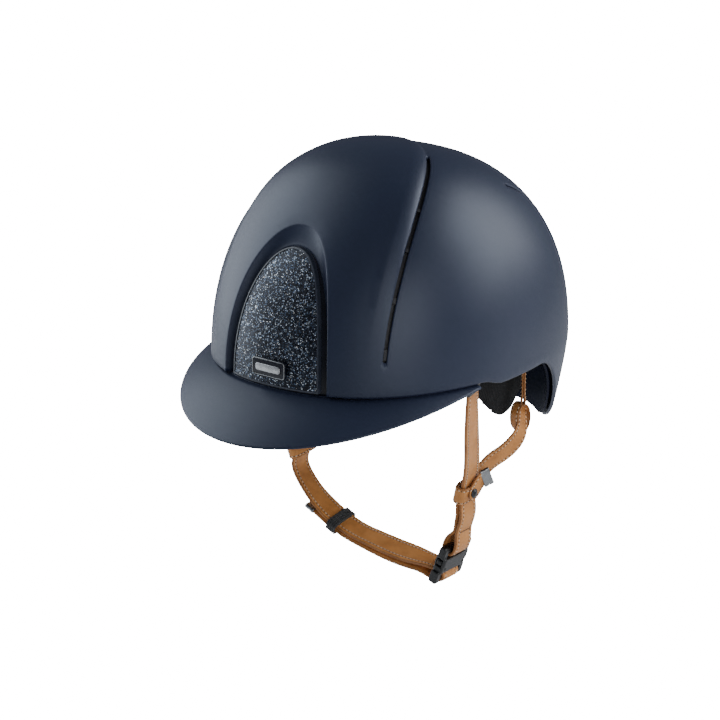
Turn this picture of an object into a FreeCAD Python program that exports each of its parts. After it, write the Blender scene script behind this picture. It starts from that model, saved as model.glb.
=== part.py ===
"""Equestrian riding helmet: hard shell with a raised front cover, peak, decorated front panel,
foam liner, textile comfort liner and a leather four-point harness with a side-release buckle.

Row frame, in millimetres: X to the wearer's left, Y to the back of the head, Z up. The origin is the
centre of the head opening, on the level where the peak meets the shell.
One STEP file per node goes to parts/.
"""

import FreeCAD, Part
import math
import os

V = FreeCAD.Vector

# ---------------------------------------------------------------- driving dimensions, mm and degrees
HALF_WIDTH = 107.0
FRONT_LENGTH = 124.0
REAR_LENGTH = 149.0
CROWN_HEIGHT = 138.6
PLAN_POWER = 2.14            # superellipse power of a level section
SIDE_POWER = 2.49            # powers of the upright profiles: side, front, rear
FRONT_POWER = 2.05
REAR_POWER = 2.0
SKIRT_TAPER = 0.07           # how much the skirt has drawn in 50 mm below the origin

SHELL_THICKNESS = 2.5
FOAM_OUTSIDE = -4.8          # offsets from the shell's outer surface, negative inwards
FOAM_INSIDE = -22.0
COMFORT_OUTSIDE = -22.9
COMFORT_INSIDE = -28.0

RIM_FRONT_Z = 3.0
RIM_SIDE_Z = -1.5
RIM_NAPE_Z = -68.0
SKIRT_START = 18.0           # bearing from the ear, towards the back, where the skirt starts to drop
SKIRT_END = 64.0

LIP_HALF_WIDTH = 70.5        # plan outline of the raised front cover
LIP_CENTRE_Y = -97.0
LIP_LENGTH = 117.0
LIP_POWER = 1.71
LIP_RAISE = 4.4
LIP_RISE_LENGTH = 62.0       # over which the cover rises to that
SLOT_NEAR = 0.3              # from the cover's edge to the slot
SLOT_WIDTH = 2.6
SLOT_START_Y = -95.0
SLOT_END_Y = 2.0

RECESS_HALF_WIDTH = 42.0
RECESS_TOP_Z = 102.4
PANEL_HALF_WIDTH = 34.2
PANEL_TOP_Z = 88.5
PANEL_BOTTOM_Z = 4.9
FRAME_WIDTH = 1.0            # of the thin raised line round the panel
BEZEL_BOTTOM_Z = 0.6         # hidden behind the peak's root
BADGE_Z = 15.6
BADGE_BACK_Y = -121.0
ARCH_POWER_UP = 2.3
ARCH_POWER_OUT = 2.15

VISOR_HALF_WIDTH = 104.5
VISOR_REACH = 129.0
VISOR_END_Y = -34.0
VISOR_TIP_DROP = 24.0
VISOR_DROP_POWER = 1.3
VISOR_THICKNESS = 2.6
VISOR_CROWN = 2.2

EAR_START = -17.0            # bearings of the ear pad's ends and of its lowest point, then their levels
EAR_END = 43.0
EAR_TIP_BEARING = 26.0
EAR_FRONT_Z = -13.0
EAR_TIP_Z = -43.6
EAR_REAR_Z = -30.0

STRAP_WIDTH = 18.0
STRAP_THICKNESS = 2.2
LOOP_Y = -2.0                # the chin loop lies in this upright plane
COLLAR_Z = -87.0             # middle of the collar that joins front and rear strap
LOWER_STRAP_Z = -104.3       # upper ends of the straps that swing; the swing axis is 7.8 mm higher
LAYER_STEP = 3.3             # from the chin strap's middle to the middle of its tail

KEEPER_CENTRE_X = -1.3       # centre and radius of the chin strap's round stretch
KEEPER_CENTRE_Z = -54.3
KEEPER_RADIUS = 87.4
KEEPER_BEARING = -23.4       # where the keeper sits on it, from straight down

BUCKLE_CENTRE = V(58.5, LOOP_Y, -140.3)
BUCKLE_LEAN = 20.4           # from upright, lower end towards the chin
BUCKLE_WIDTH = 30.0
BUCKLE_DEPTH = 8.6
BUCKLE_WALL = 1.3
BAR_OFFSET = 11.5            # each strap bar, from the buckle's centre along its axis
BAR_RADIUS = 1.9
PRONG_Y = 10.3
PRONG_PIVOT_Z = -2.9

PARTS = {}


# ---------------------------------------------------------------- dome geometry
def smooth(x):
    """0 to 1, flat at both ends."""
    x = min(max(x, 0.0), 1.0)
    return x * x * (3.0 - 2.0 * x)


def draw_in(z, height, power):
    """Share of the full half width that is left at level z."""
    if z >= 0.0:
        return max(1.0 - (z / height) ** power, 0.0) ** (1.0 / power)
    return 1.0 - SKIRT_TAPER * (-z / 50.0) ** 1.3


def dome(bearing, z, offset=0.0):
    """Point on the shell's outer surface, moved out by offset. Bearing 0 is the left ear, 90 the back."""
    height = CROWN_HEIGHT + offset
    c, s = math.cos(math.radians(bearing)), math.sin(math.radians(bearing))
    a = (HALF_WIDTH + offset) * draw_in(z, height, SIDE_POWER)
    if s < 0.0:
        b = (FRONT_LENGTH + offset) * draw_in(z, height, FRONT_POWER)
    else:
        b = (REAR_LENGTH + offset) * draw_in(z, height, REAR_POWER)
    if a < 1e-6 or b < 1e-6:
        return V(0.0, 0.0, z)
    r = ((abs(c) / a) ** PLAN_POWER + (abs(s) / b) ** PLAN_POWER) ** (-1.0 / PLAN_POWER)
    return V(r * c, r * s, z)


def outside(x, y, z, offset):
    """Positive where the point lies outside the dome."""
    height = CROWN_HEIGHT + offset
    if z >= height:
        return 1.0
    a = (HALF_WIDTH + offset) * draw_in(z, height, SIDE_POWER)
    power, length = (FRONT_POWER, FRONT_LENGTH) if y < 0.0 else (REAR_POWER, REAR_LENGTH)
    b = (length + offset) * draw_in(z, height, power)
    if a < 1e-6 or b < 1e-6:
        return 1.0
    return (abs(x) / a) ** PLAN_POWER + (abs(y) / b) ** PLAN_POWER - 1.0


def above(x, y, offset=0.0):
    """Point on the dome over the plan position x, y."""
    low, high = 0.0, CROWN_HEIGHT + offset
    for _ in range(48):
        middle = 0.5 * (low + high)
        if outside(x, y, middle, offset) > 0.0:
            high = middle
        else:
            low = middle
    return V(x, y, low)


def folded(bearing):
    """The bearing of the same place on the left half, from -90 at the front to 90 at the back."""
    bearing = (bearing + 180.0) % 360.0 - 180.0
    if bearing > 90.0:
        return 180.0 - bearing
    if bearing < -90.0:
        return -180.0 - bearing
    return bearing


def rim_z(bearing):
    """Level of the shell's lower edge."""
    b = folded(bearing)
    if b < SKIRT_START:
        return RIM_FRONT_Z + (RIM_SIDE_Z - RIM_FRONT_Z) * smooth((b + 17.0) / 11.0)
    return RIM_SIDE_Z + (RIM_NAPE_Z - RIM_SIDE_Z) * smooth((b - SKIRT_START) / (SKIRT_END - SKIRT_START))


def foam_rim_z(bearing):
    """Level of the foam liner's lower edge."""
    b = folded(bearing)
    return 4.0 + (-38.0 - 4.0) * smooth((b - 40.0) / 34.0)


# ---------------------------------------------------------------- solids from grids of points
def face_through(rows):
    surface = Part.BSplineSurface()
    surface.interpolate(rows)
    return surface.toShape()


def solid_between(outer_rows, inner_rows):
    """Closed solid between two faces with the same layout: open, closed round, or with a pole."""
    outer, inner = face_through(outer_rows), face_through(inner_rows)
    faces = [outer, inner]
    for a, b in zip(outer.Edges, inner.Edges):
        if not a.Degenerated and not a.isSeam(outer):
            faces += Part.makeRuledSurface(a, b).Faces
    shell = Part.Shell(faces)
    shell.sewShape()
    solid = Part.Solid(shell)
    if solid.Volume < 0.0:
        solid.reverse()
    if not solid.isValid():
        raise ValueError("solid_between made an invalid solid")
    return solid


def bearings(count, start=90.0):
    """A full turn, with the first bearing repeated at the end."""
    return [start + 360.0 * (i % count) / count for i in range(count + 1)]


def bowl(outer_offset, inner_offset, lower_z, around=60, up=18):
    """Dome between two offsets, down to the level that lower_z gives for each bearing."""
    def rows(offset):
        top = CROWN_HEIGHT + offset
        made = []
        for j in range(up):
            share = math.sin(0.5 * math.pi * j / up)
            made.append([dome(b, lower_z(b) + (top - lower_z(b)) * share, offset) for b in bearings(around)])
        made.append([V(0.0, 0.0, top)] * (around + 1))
        return made
    return solid_between(rows(outer_offset), rows(inner_offset))


def band(outer_offset, inner_offset, low, high, start=None, end=None, around=60, up=8):
    """Part of the dome's wall between two levels; all the way round if start and end are left out."""
    if start is None:
        turn = bearings(around)
    else:
        turn = [start + (end - start) * i / around for i in range(around + 1)]

    def rows(offset):
        return [
            [dome(b, low(b) + (high(b) - low(b)) * j / up, offset) for b in turn]
            for j in range(up + 1)
        ]
    return solid_between(rows(outer_offset), rows(inner_offset))


def level(z):
    return lambda bearing: z


def mirrored(shape):
    return shape.mirror(V(0, 0, 0), V(1, 0, 0))


def both_sides(name, shape):
    """One node on the wearer's left and its mirror image on the right."""
    PARTS[name + "_left"] = shape
    PARTS[name + "_right"] = mirrored(shape)


# ---------------------------------------------------------------- straps
def strap(path, widths, thickness=STRAP_THICKNESS, width=STRAP_WIDTH, end_width=None, samples=28):
    """Flat strap along a smooth path. widths holds the width direction at each path point."""
    end_width = end_width or width
    curve = Part.BSplineCurve()
    curve.interpolate(path)
    points = curve.discretize(samples)
    total = float(samples - 1)
    last = len(path) - 1

    def width_at(i):
        x = i / total * last
        k = min(int(x), last - 1)
        return widths[k] * (1.0 - (x - k)) + widths[k + 1] * (x - k)

    upper, lower = [], []
    for i, p in enumerate(points):
        along = points[min(i + 1, samples - 1)] - points[max(i - 1, 0)]
        along.normalize()
        across = width_at(i)
        across = across - along * across.dot(along)
        across.normalize()
        normal = along.cross(across)
        breadth = width + (end_width - width) * smooth(2.2 * i / total)
        columns = [(-0.5 + 0.25 * k) * breadth for k in range(5)]
        upper.append([p + across * c + normal * (0.5 * thickness) for c in columns])
        lower.append([p + across * c - normal * (0.5 * thickness) for c in columns])
    return solid_between(upper, lower)


def ring_band(centre, half_u, half_v, direction_u, direction_v, width, thickness, power=2.0):
    """Closed band of leather or webbing: an oval in the plane of two directions, width along the third."""
    axis = direction_u.cross(direction_v)

    def outline(grow):
        points = []
        for i in range(48):
            t = 2.0 * math.pi * i / 48
            c, s = math.cos(t), math.sin(t)
            u = math.copysign(abs(c) ** (2.0 / power), c) * (half_u + grow)
            v = math.copysign(abs(s) ** (2.0 / power), s) * (half_v + grow)
            points.append(centre + direction_u * u + direction_v * v - axis * (0.5 * width))
        curve = Part.BSplineCurve()
        curve.interpolate(points, PeriodicFlag=True)
        return Part.Wire([curve.toShape()])
    outer = Part.Face(outline(0.5 * thickness)).extrude(axis * width)
    inner = Part.Face(outline(-0.5 * thickness)).extrude(axis * width)
    return outer.cut(inner)


def rounded_box(x, y, z, centre, radius, edges=None):
    """Box with filleted edges; edges picks those along one axis, by letter."""
    box = Part.makeBox(x, y, z, V(centre.x - x / 2.0, centre.y - y / 2.0, centre.z - z / 2.0))
    chosen = []
    for edge in box.Edges:
        d = edge.Vertexes[1].Point - edge.Vertexes[0].Point
        letter = "x" if abs(d.x) > 1e-6 else "y" if abs(d.y) > 1e-6 else "z"
        if edges is None or letter in edges:
            chosen.append(edge)
    return box.makeFillet(radius, chosen)


def cylinder(radius, length, start, direction):
    return Part.makeCylinder(radius, length, start, direction)


# ---------------------------------------------------------------- shell, front cover, peak
def lip_point(y, grow=0.0):
    """Plan half width of the front cover's edge at y, and its outward direction in plan."""
    t = (y - LIP_CENTRE_Y) / LIP_LENGTH
    x = LIP_HALF_WIDTH * max(1.0 - max(t, 0.0) ** LIP_POWER, 0.0) ** (1.0 / LIP_POWER)
    nx = (max(x, 1e-3) / LIP_HALF_WIDTH) ** (LIP_POWER - 1.0) / LIP_HALF_WIDTH
    ny = max(t, 1e-6) ** (LIP_POWER - 1.0) / LIP_LENGTH
    size = math.hypot(nx, ny)
    return x + grow * nx / size, y + grow * ny / size


def lip_place(y):
    """Point of the cover's left edge on the dome, the way out from the cover, and the way off the shell."""
    step = 0.4
    here = above(lip_point(y)[0], y)
    along = above(lip_point(y + step)[0], y + step) - here
    along.normalize()
    off = V(
        outside(here.x + step, here.y, here.z, 0.0) - outside(here.x - step, here.y, here.z, 0.0),
        outside(here.x, here.y + step, here.z, 0.0) - outside(here.x, here.y - step, here.z, 0.0),
        outside(here.x, here.y, here.z + step, 0.0) - outside(here.x, here.y, here.z - step, 0.0))
    off.normalize()
    return here, along.cross(off), off


def front_cover():
    """The raised cover: from the lower ends of its two edges to its rounded tip behind the crown."""
    stations, columns = 20, 16
    upper, lower = [], []
    for i in range(stations + 1):
        y = LIP_CENTRE_Y + 2.0 + (LIP_LENGTH - 4.0) * math.sin(0.5 * math.pi * i / stations)
        x, _ = lip_point(y)
        raise_now = LIP_RAISE * smooth((y - LIP_CENTRE_Y) / LIP_RISE_LENGTH)
        top_row, low_row = [], []
        for k in range(columns + 1):
            share = -1.0 + 2.0 * k / columns
            edge = LIP_RAISE * 0.35 * smooth((abs(share) - 0.8) / 0.2)
            top_row.append(above(x * share, y, max(raise_now - edge * raise_now / LIP_RAISE, 0.02)))
            low_row.append(above(x * share, y, -1.2))
        upper.append(top_row)
        lower.append(low_row)
    return solid_between(upper, lower)


def edge_channel(inner, outer, top, bottom, start_y, end_y, steps=24):
    """Solid that follows the front cover's edge, between two distances outside it and two offsets."""
    upper, lower = [], []
    for i in range(steps + 1):
        here, beside, off = lip_place(start_y + (end_y - start_y) * i / steps)
        upper_row, lower_row = [], []
        for distance in (inner, 0.5 * (inner + outer), outer):
            sag = 0.5 * distance * distance / HALF_WIDTH
            upper_row.append(here + beside * distance + off * (top - sag))
            lower_row.append(here + beside * distance + off * (bottom - sag))
        upper.append(upper_row)
        lower.append(lower_row)
    return solid_between(upper, lower)


def rear_channel(width, top, bottom, steps=16):
    """Solid that follows one of the two exhaust slots behind the crown."""
    upper, lower = [], []
    for i in range(steps + 1):
        t = i / steps
        y = 48.0 + 66.0 * t
        x = 64.0 - 15.0 * t * t
        columns = (x - 0.5 * width, x, x + 0.5 * width)
        upper.append([above(column, y, top) for column in columns])
        lower.append([above(column, y, bottom) for column in columns])
    return solid_between(upper, lower)


def arch_prism(half_width, top_z, bottom_z):
    """Upright arch, seen from the front, run through the front of the helmet."""
    points = []
    for i in range(41):
        t = math.pi * i / 40.0
        c, s = math.cos(t), math.sin(t)
        x = math.copysign(abs(c) ** (2.0 / ARCH_POWER_OUT), c) * half_width
        z = s ** (2.0 / ARCH_POWER_UP) * top_z
        points.append(V(x, -150.0, z))
    curve = Part.BSplineCurve()
    curve.interpolate(points)
    corners = [points[-1], V(-half_width, -150, bottom_z), V(half_width, -150, bottom_z), points[0]]
    edges = [curve.toShape()]
    edges += [Part.LineSegment(a, b).toShape() for a, b in zip(corners, corners[1:])]
    return Part.Face(Part.Wire(edges)).extrude(V(0, 110, 0))


def shell_parts():
    shell = bowl(0.0, -SHELL_THICKNESS, rim_z, around=72, up=22)
    shell = shell.fuse(front_cover())
    recess = arch_prism(RECESS_HALF_WIDTH, RECESS_TOP_Z, -12.0)
    shell = shell.cut(recess)
    slot = edge_channel(SLOT_NEAR, SLOT_NEAR + SLOT_WIDTH, 9.0, -3.6, SLOT_START_Y, SLOT_END_Y, steps=36)
    rear = rear_channel(2.2, 4.0, -3.6)
    for cutter in (slot, mirrored(slot), rear, mirrored(rear)):
        shell = shell.cut(cutter)
    for start, direction in visor_screw_places():
        shell = shell.cut(cylinder(1.05, 3.65, start, direction))
    PARTS["outer_shell"] = shell
    both_sides("side_vent_grille", vent_grille())
    both_sides("rear_vent_grille", rear_channel(6.0, -2.9, -4.5))


def vent_grille():
    """Dark strip behind a front slot, with short ribs that stand up into the slot."""
    strip = edge_channel(-1.8, 4.6, -2.95, -4.6, SLOT_START_Y + 0.1, SLOT_END_Y - 0.5, steps=36)
    for y, length in ((-94.7, 1.3), (-84.0, 1.6), (-66.0, 1.6), (-45.0, 1.6)):
        rib = edge_channel(SLOT_NEAR + 0.3, SLOT_NEAR + SLOT_WIDTH - 0.3, -1.0, -3.6, y, y + length, steps=4)
        strip = strip.fuse(rib)
    return strip


def front_parts():
    """Dark bezel plate, glitter panel, its thin frame, and the badge."""
    bezel_band = bowl(-5.6, -8.0, level(BEZEL_BOTTOM_Z), around=48, up=14)
    PARTS["front_bezel"] = bezel_band.common(arch_prism(RECESS_HALF_WIDTH - 0.3, RECESS_TOP_Z - 0.3, -10.0))
    frame_band = bowl(-2.4, -5.4, level(3.6), around=48, up=14)
    frame = frame_band.common(arch_prism(PANEL_HALF_WIDTH + FRAME_WIDTH, PANEL_TOP_Z + FRAME_WIDTH, -10.0))
    opening = arch_prism(PANEL_HALF_WIDTH + 0.1, PANEL_TOP_Z + 0.1, -10.0)
    below = Part.makeBox(100.0, 120.0, 20.0, V(-50.0, -160.0, PANEL_BOTTOM_Z - 20.1))
    PARTS["front_panel_frame"] = frame.cut(opening.cut(below))
    panel_band = bowl(-2.9, -5.4, level(PANEL_BOTTOM_Z), around=48, up=14)
    badge_hole = cylinder(2.1, 30.0, V(0, -140, BADGE_Z), V(0, 1, 0))
    panel = panel_band.common(arch_prism(PANEL_HALF_WIDTH, PANEL_TOP_Z, -10.0)).cut(badge_hole)
    PARTS["front_panel"] = panel
    base = rounded_box(27.0, 1.7, 12.0, V(0, BADGE_BACK_Y - 0.85, BADGE_Z), 2.2, edges="y")
    stud = cylinder(2.0, 3.2, V(0, BADGE_BACK_Y - 0.2, BADGE_Z), V(0, 1, 0))
    PARTS["badge_base"] = base.fuse(stud)
    PARTS["badge_plate"] = rounded_box(20.0, 1.0, 5.0, V(0, BADGE_BACK_Y - 2.25, BADGE_Z), 1.6, edges="y")


def visor_grid():
    """Points of the peak's upper surface, from its root under the shell to its free edge."""
    turn, out = 48, 10
    rows = []
    for i in range(turn + 1):
        angle = 180.0 * i / turn
        side = math.sin(math.radians(angle))
        bearing = -18.6 - (180.0 - 2.0 * 18.6) * i / turn
        root = dome(bearing, 2.2, -3.6)
        edge = V(
            VISOR_HALF_WIDTH * math.cos(math.radians(angle)),
            VISOR_END_Y - VISOR_REACH * side,
            1.0 - VISOR_TIP_DROP * side ** VISOR_DROP_POWER,
        )
        row = []
        for k in range(out + 1):
            t = k / out
            p = root + (edge - root) * t
            swell = VISOR_CROWN * side * 4.0 * t * (1.0 - t)
            row.append(V(p.x, p.y, p.z + swell))
        rows.append(row)
    return rows


def visor_screw_places():
    """Start point and outward direction of each screw that holds the peak's flange to the shell."""
    places = []
    for bearing in (-32.0, -148.0, -62.0, -118.0):
        inside, out = dome(bearing, 8.0, -4.75), dome(bearing, 8.0, 0.0)
        direction = out - inside
        direction.normalize()
        places.append((inside, direction))
    return places


def visor_parts():
    upper = visor_grid()
    lower = [[p - V(0, 0, VISOR_THICKNESS - 0.9 * k / 10.0) for k, p in enumerate(row)] for row in upper]
    brim = solid_between(upper, lower)
    flange = band(-2.8, -4.4, level(0.4), level(12.0), -20.0, -160.0, around=40, up=3)
    gap_width = 2 * RECESS_HALF_WIDTH + 2.0
    flange = flange.cut(Part.makeBox(gap_width, 60.0, 20.0, V(-0.5 * gap_width, -150.0, 3.2)))
    visor = brim.fuse(flange)
    screws = []
    for start, direction in visor_screw_places():
        visor = visor.cut(cylinder(1.2, 4.0, start - direction * 1.0, direction))
        head = cylinder(2.4, 1.3, start - direction * 1.35, direction)
        screws.append(head.fuse(cylinder(0.95, 3.3, start - direction * 0.1, direction)))
    PARTS["visor"] = visor
    PARTS["visor_screws"] = Part.makeCompound(screws)


# ---------------------------------------------------------------- liners and padding
def foam_liner():
    foam = bowl(FOAM_OUTSIDE, FOAM_INSIDE, foam_rim_z, around=60, up=16)
    front_relief = bowl(6.0, -8.5, level(-6.0), around=48, up=12)
    foam = foam.cut(front_relief.common(arch_prism(RECESS_HALF_WIDTH + 1.5, RECESS_TOP_Z + 1.5, -12.0)))
    pocket = Part.makeBox(22.0, 32.0, 31.0, V(84.0, -41.5, -10.0))
    rear_pocket = Part.makeBox(26.0, 34.0, 40.0, V(76.0, 25.0, -28.0))
    for box in (pocket, mirrored(pocket), rear_pocket, mirrored(rear_pocket)):
        foam = foam.cut(box)
    for x in (-30.0, 0.0, 30.0):
        for y in (-30.0, 20.0, 66.0):
            foam = foam.cut(Part.makeBox(9.0, 26.0, 80.0, V(x - 4.5, y - 13.0, 75.0)))
    for start, direction in visor_screw_places():
        foam = foam.cut(cylinder(4.0, 5.0, start - direction * 3.5, direction))
    PARTS["foam_liner"] = foam


def comfort_low_z(bearing):
    b = folded(bearing)
    return 3.0 + (-34.0 - 3.0) * smooth((b - 42.0) / 30.0)


def ear_low_z(bearing):
    """Lower edge of the ear pad, lowest behind the ear."""
    b = folded(bearing)
    if b < EAR_TIP_BEARING:
        share = smooth((b - EAR_START) / (EAR_TIP_BEARING - EAR_START))
        return EAR_FRONT_Z + (EAR_TIP_Z - EAR_FRONT_Z) * share
    share = smooth((b - EAR_TIP_BEARING) / (EAR_END - EAR_TIP_BEARING))
    return EAR_TIP_Z + (EAR_REAR_Z - EAR_TIP_Z) * share


def comfort_parts():
    crown = bowl(COMFORT_OUTSIDE, COMFORT_INSIDE, level(52.0), around=48, up=10)
    for angle in (0.0, 60.0, 120.0):
        gap = Part.makeBox(8.0, 150.0, 120.0, V(-4.0, -75.0, 30.0))
        gap.rotate(V(0, 0, 0), V(0, 0, 1), angle)
        inner = Part.makeCylinder(26.0, 140.0, V(0, 6.0, 10.0))
        outer = Part.makeCylinder(64.0, 140.0, V(0, 6.0, 10.0))
        crown = crown.cut(gap.common(outer).cut(inner))
    PARTS["crown_pad"] = crown
    PARTS["headband_pad"] = band(
        COMFORT_OUTSIDE, COMFORT_INSIDE - 1.5, comfort_low_z, level(46.0), around=60, up=8)
    pad = band(
        -23.6, -28.4, ear_low_z, lambda b: comfort_low_z(b) - 0.6, EAR_START, EAR_END, around=24, up=6)
    both_sides("ear_pad", pad)
    discs = []
    for bearing in (-90.0, -40.0, -140.0, 90.0, 60.0, 120.0):
        inner, outer = dome(bearing, 30.0, FOAM_INSIDE - 1.3), dome(bearing, 30.0, FOAM_INSIDE)
        direction = outer - inner
        direction.normalize()
        discs.append(cylinder(9.0, 1.9, inner, direction))
    PARTS["hook_and_loop_discs"] = Part.makeCompound(discs)
    for disc in discs:
        PARTS["foam_liner"] = PARTS["foam_liner"].cut(disc)
        PARTS["headband_pad"] = PARTS["headband_pad"].cut(disc)


def nape_guard():
    """Thin inner skin of the skirt, set 2.5 mm inside the shell."""
    return band(-5.0, -6.4, lambda b: rim_z(b) + 2.5, lambda b: foam_rim_z(b) - 1.6,
                25.0, 155.0, around=44, up=6)


# ---------------------------------------------------------------- harness
def junction_frame():
    """Directions of the front strap at the left junction: across it and through it."""
    along = V(-3.0, 1.0, -10.5)
    along.normalize()
    across = V(-0.06, 1.0, 0.0)
    across = across - along * across.dot(along)
    across.normalize()
    return across, along.cross(across)


def clip_round(end, along, across, length, width, thickness, wall, inset):
    """Metal clip crimped over the end of a strap that arrives at end, running along."""
    normal = along.cross(across)
    block = Part.makeBox(length, width + 2 * wall, thickness + 2 * wall,
                         V(-inset, -0.5 * width - wall, -0.5 * thickness - wall))
    room = Part.makeBox(length, width + 0.1, thickness + 0.1,
                        V(-inset - wall, -0.5 * width - 0.05, -0.5 * thickness - 0.05))
    matrix = FreeCAD.Matrix(along.x, across.x, normal.x, end.x, along.y, across.y, normal.y, end.y,
                            along.z, across.z, normal.z, end.z, 0, 0, 0, 1)
    return block.cut(room).transformGeometry(matrix)


def front_strap_and_anchor():
    widths = [V(-0.24, 1, 0), V(-0.22, 1, 0), V(-0.14, 1, 0), V(-0.1, 1, 0), V(-0.06, 1, 0), V(-0.05, 1, 0)]
    path = [
        V(94.0, -28.5, 7.0), V(93.0, -28.0, -12.0), V(86.7, -19.0, -42.0),
        V(80.4, -9.9, -66.0), V(73.6, -3.0, -84.0), V(71.0, LOOP_Y, -94.2),
    ]
    both_sides("front_strap", strap(path, widths))
    sleeve_path = [V(94.3, -28.6, 12.0), V(94.0, -28.5, 2.0), V(93.4, -28.2, -6.5)]
    sleeve = strap(sleeve_path, widths[:3], thickness=STRAP_THICKNESS + 1.6, width=STRAP_WIDTH + 1.2)
    room = strap(path, widths, thickness=STRAP_THICKNESS + 0.1, width=STRAP_WIDTH + 0.1)
    both_sides("strap_sleeve", sleeve.cut(room))
    seat = strap(sleeve_path, widths[:3], thickness=STRAP_THICKNESS + 1.8, width=STRAP_WIDTH + 1.5)
    plate = Part.makeBox(1.6, 20.0, 17.6, V(96.3, -37.4, 1.8))
    both_sides("front_anchor_plate", plate.cut(seat))
    rivets = []
    for sign in (1.0, -1.0):
        for y in (-34.0, -21.0):
            rivets.append(cylinder(1.7, 1.3, V(sign * 94.9, y, 16.4), V(sign, 0, 0)))
    PARTS["anchor_rivets"] = Part.makeCompound(rivets)


def rear_strap_and_anchor():
    plate = Part.makeBox(2.0, 20.0, 14.0, V(86.0, 32.0, -10.0))
    both_sides("rear_anchor_plate", plate.cut(Part.makeBox(4.0, 15.0, 4.0, V(85.0, 34.5, -8.0))))
    ring_across = V(0.26, 0.966, 0.0)
    loop = ring_band(V(85.2, 39.4, -43.8), 5.2, 9.6, ring_across, V(0, 0, 1), 9.0, 1.6, power=2.0)
    both_sides("rear_loop", loop)
    tab = ring_band(V(86.4, 40.6, -20.6), 1.6, 14.6, V(0.79, 0.613, 0), V(0, 0, 1), 9.0, 1.2, power=2.6)
    both_sides("rear_tab", tab.cut(loop).cut(plate))
    path = [
        V(85.6, 41.0, -37.5), V(88.0, 37.6, -46.0), V(89.2, 33.4, -53.4), V(87.0, 28.2, -60.2),
        V(83.0, 21.8, -65.8), V(78.8, 15.4, -70.2), V(74.8, 8.6, -77.6),
    ]
    widths = [V(0.26, 0.96, 0.1), V(0.3, 0.9, -0.2), V(0.2, 0.8, -0.5), V(0.1, 0.7, -0.68),
              V(0.0, 0.6, -0.78), V(0.0, 0.6, -0.75), V(0.0, 0.8, -0.6)]
    both_sides("rear_strap", strap(path, widths, thickness=1.8, width=7.0, end_width=16.0).cut(loop))


def junction():
    """Leather collar round the front strap, its loose end with a metal tip, and the press stud."""
    across, through = junction_frame()
    centre = V(71.9, LOOP_Y, COLLAR_Z)
    collar = ring_band(centre, 11.4, 4.3, across, through, 13.0, 1.8, power=3.4)
    both_sides("junction_collar", collar)
    path = [
        V(78.2, -8.8, -88.2), V(78.4, -4.4, -87.0), V(79.0, -0.4, -83.2),
        V(80.4, 3.2, -79.2), V(83.4, 7.6, -77.0),
    ]
    widths = [V(0, 0, 1), V(0, -0.3, 1), V(0, -0.6, 0.8), V(0, -0.5, 0.9), V(-0.1, -0.3, 1)]
    flap = strap(path, widths, thickness=1.5, width=11.6).cut(collar)
    both_sides("junction_flap", flap)
    run = path[-1] - path[-2]
    run.normalize()
    edge = widths[-1] - run * widths[-1].dot(run)
    edge.normalize()
    both_sides("junction_flap_tip", clip_round(path[-1], run, edge, 7.0, 11.6, 1.5, 0.7, 6.2).cut(flap))
    stud = cylinder(3.2, 1.7, V(78.9, -4.6, -87.2), V(1, 0, 0))
    both_sides("junction_stud", stud.makeFillet(0.5, [stud.Edges[0]]).cut(flap))


# ---------------------------------------------------------------- chin loop and buckle
def to_buckle(shape):
    """Places a shape built about the origin, Z along the buckle and X through it, on the chin loop."""
    shape = shape.copy()
    shape.rotate(V(0, 0, 0), V(0, 1, 0), BUCKLE_LEAN)
    shape.translate(BUCKLE_CENTRE)
    return shape


def in_buckle(x, y, z):
    """Row-frame place of a point given in the buckle's own directions."""
    lean = math.radians(BUCKLE_LEAN)
    return BUCKLE_CENTRE + V(
        x * math.cos(lean) + z * math.sin(lean), y, z * math.cos(lean) - x * math.sin(lean))


def centred_box(x, y, z, cx, cy, cz):
    return Part.makeBox(x, y, z, V(cx - 0.5 * x, cy - 0.5 * y, cz - 0.5 * z))


def socket():
    """Open box that the plug enters, with a window at each side for the finger pads, and a strap eye."""
    wall = BUCKLE_WALL
    body = rounded_box(BUCKLE_DEPTH, BUCKLE_WIDTH - 2.0, 7.2, V(0, 0, 2.0), 2.2, edges="z")
    body = body.cut(centred_box(BUCKLE_DEPTH - 2 * wall, BUCKLE_WIDTH - 2.0 - 2 * wall, 6.2, 0, 0, 1.2))
    body = body.cut(centred_box(4.8, BUCKLE_WIDTH + 4.0, 6.6, 0, 0, 1.3))
    body = body.fuse(rounded_box(5.6, BUCKLE_WIDTH, 5.6, V(0, 0, BAR_OFFSET), 2.2, edges="y"))
    for sign in (1.0, -1.0):
        body = body.fuse(rounded_box(5.6, 4.4, 7.0, V(0, sign * 12.6, 8.6), 1.2, edges="x"))
    return body


def plug():
    """Strap bar between two cheeks, the shoulder that meets the socket, and the guide tongue."""
    half = 0.5 * BUCKLE_WIDTH
    body = rounded_box(BUCKLE_DEPTH - 1.0, BUCKLE_WIDTH - 3.0, 4.8, V(0, 0, -4.1), 1.6, edges="z")
    for sign in (1.0, -1.0):
        body = body.fuse(rounded_box(6.4, 4.6, 9.4, V(0, sign * (half - 2.3), -10.6), 1.4, edges="y"))
    bar = cylinder(BAR_RADIUS, BUCKLE_WIDTH - 2.0, V(0, 1.0 - half, -BAR_OFFSET), V(0, 1, 0))
    tongue = rounded_box(3.2, 8.0, 6.4, V(0, 0, 0.9), 1.0, edges="x")
    body = body.fuse(bar).fuse(tongue)
    for sign in (1.0, -1.0):
        body = body.cut(centred_box(5.0, 5.6, 4.4, 0, sign * PRONG_Y, -1.8))
        body = body.cut(cylinder(1.15, 12.0, V(-6.0, sign * PRONG_Y, PRONG_PIVOT_Z), V(1, 0, 0)))
    return body


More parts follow.
